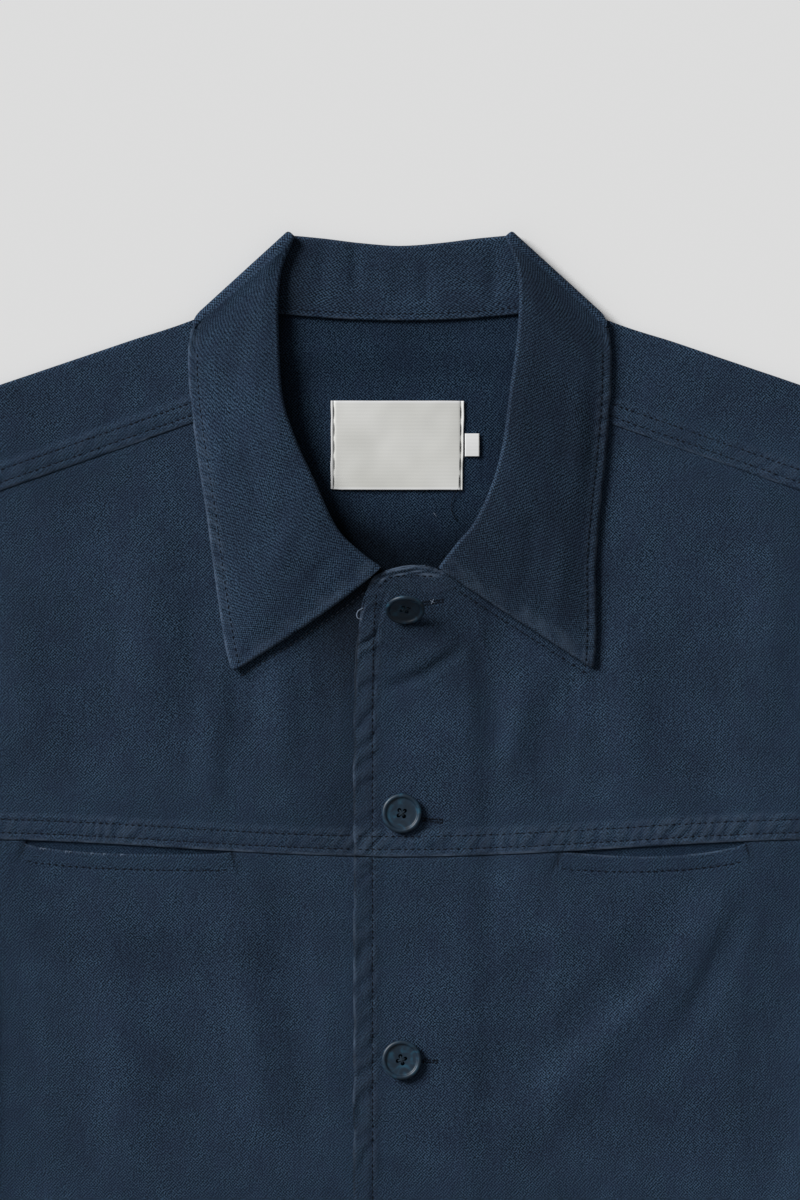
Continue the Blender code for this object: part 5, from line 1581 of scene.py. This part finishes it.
def sewCuffs():
    parts = []
    down = np.array([1.0 - sleevePiece["hemSeam"]["rows"][0] / sleevePiece["length"]])
    for side in signs:
        rows = []
        for share in np.linspace(0.02, 0.97, 40):
            x, y = sleevePlace(np.array([share]), down)
            level, _ = sleeveLevel(x, y, side, down, np.array([share]))
            rows.append((signs[side] * float(x[0]), float(y[0]), float(level[0]) + cloth["body"] / 2))
        lineX, _, tops = np.array(sorted(rows)).T
        parts.append(sewRow([row[:2] for row in rows], lambda x, y: np.interp(x, lineX, tops), seed=61))
    threadObject("cuffStitches", parts)


def sewLabel():
    x0, y0, x1, y1 = labels["neckLabel"]["box"]
    height = lambda x, y: labelHeight(x, y, "neckLabel") + 0.42
    threadObject("labelStitches", [
        sewRow([(x + lean, y0 + 0.6), (x, y1 - 0.6)], height, length=7.0, gap=0.5, width=0.4, seed=71)
        for x, lean in ((x0 + 1.55, 0.0), (x1 - 1.6, -0.9))], looseThread)


def onFront(x, y, lift=0.0, at=None):
    # a point on the left front, or as high as the cloth is at another one
    return x, y, heightAt(onUpper("left"), *(at or (x, y))) + lift


def makeLooseEnds():
    # clipped ends and fluff that the wash has teased out: each one's points, how many it is drawn with, its radius
    dark = [(29.1, 240.4, 3.0), (27.0, 237.2, 2.2), (26.0, 233.6, 1.9), (25.9, 230.0, 2.0), (27.0, 227.2, 2.1),
            (28.7, 224.6, 1.8)]
    threadObject("looseThreadEnd", [tubeAlong(smoothPath(dark, 30), 0.16)], looseThread)
    pale = [([onFront(-18.6, 180.6, at=(-17, 180.6)), (-20.9, 179.3, 4.6), (-21.7, 177.4, 4.4), (-21.2, 175.6, 4.5),
              onFront(-19.2, 174.9, at=(-17, 175))], 24, 0.24),
            ([onFront(15.6, 182.6, 0.2), onFront(16.4, 183.8, 0.5), onFront(16.9, 185.2, 0.2)], 10, 0.14),
            ([onFront(15.3, 184.5, 0.2), onFront(16.4, 183.7, 0.5), onFront(17.6, 183.2, 0.2)], 10, 0.12),
            ([(16.9, 228.6, 1.5), (17.6, 227.8, 1.9), (18.4, 226.6, 1.6)], 10, 0.12)]
    for px in (-180.6, -178.9, -167.9, -166.0, -155.0, -148.8, -140.0):
        lipY = float(chestY(px)) - float(mouthGap(px, "right"))
        pale.append(([(px - 0.5, lipY - 0.5, 4.2), (px, lipY + 0.5, 4.5), (px + 0.9, lipY - 0.1, 4.1)], 8, 0.17))
    threadObject("paleFluff", [tubeAlong(smoothPath(points, count), radius) for points, count, radius in pale],
                 paleThread)


buttonThread = makeThread("buttonTwist", "#2c3944")
for name in labels:
    makeLabel(name)
makeButtons()
sewBody()
sewCollar()
sewCuffs()
sewLabel()
makeLooseEnds()
print("labels, buttons and sewing are made")

studio = {
    "floor": "#e4e4e4", "floorSize": 4.0, "floorLevel": -0.0004,      # metres
    "cameraHeight": 2.0, "framed": 0.6048, "centreY": 0.1847,
    "keyStrength": 4.55, "keyAngle": 26.0, "keyFrom": (-0.78, 0.58, 0.565), "sky": 0.2,
}


def makeStudio():
    size, low = studio["floorSize"], studio["floorLevel"]
    mesh = bpy.data.meshes.new("studioFloor")
    mesh.from_pydata([(-size, -size, low), (size, -size, low), (size, size, low), (-size, size, low)], [],
                     [(0, 1, 2, 3)])
    # Matte painted board, sprayed: a plain pale surface with no shine.
    paint, _, _ = newMaterial("mattePaintedBoard", studio["floor"], 0.95, 0.0)
    mesh.materials.append(paint)
    floor = linked("studioFloor", mesh)
    key = bpy.data.lights.new("softKey", "SUN")
    key.energy, key.angle = studio["keyStrength"], math.radians(studio["keyAngle"])
    x, y, z = studio["keyFrom"]
    linked("softKey", key).rotation_euler = (math.atan2(math.hypot(x, y), z), 0.0, math.atan2(y, x) + math.pi / 2)
    world = bpy.data.worlds.new("softRoom")
    world.use_nodes = True
    sky = world.node_tree.nodes["Background"].inputs
    sky["Color"].default_value, sky["Strength"].default_value = (1.0, 1.0, 1.0, 1.0), studio["sky"]
    lens = bpy.data.cameras.new("overheadCamera")
    lens.lens = 36.0 * studio["cameraHeight"] / studio["framed"]
    camera = linked("overheadCamera", lens)
    camera.location = (0.0, studio["centreY"], studio["cameraHeight"])
    scene = bpy.context.scene
    scene.world, scene.camera, scene.view_settings.view_transform = world, camera, "Standard"


makeStudio()
print("the studio is set")
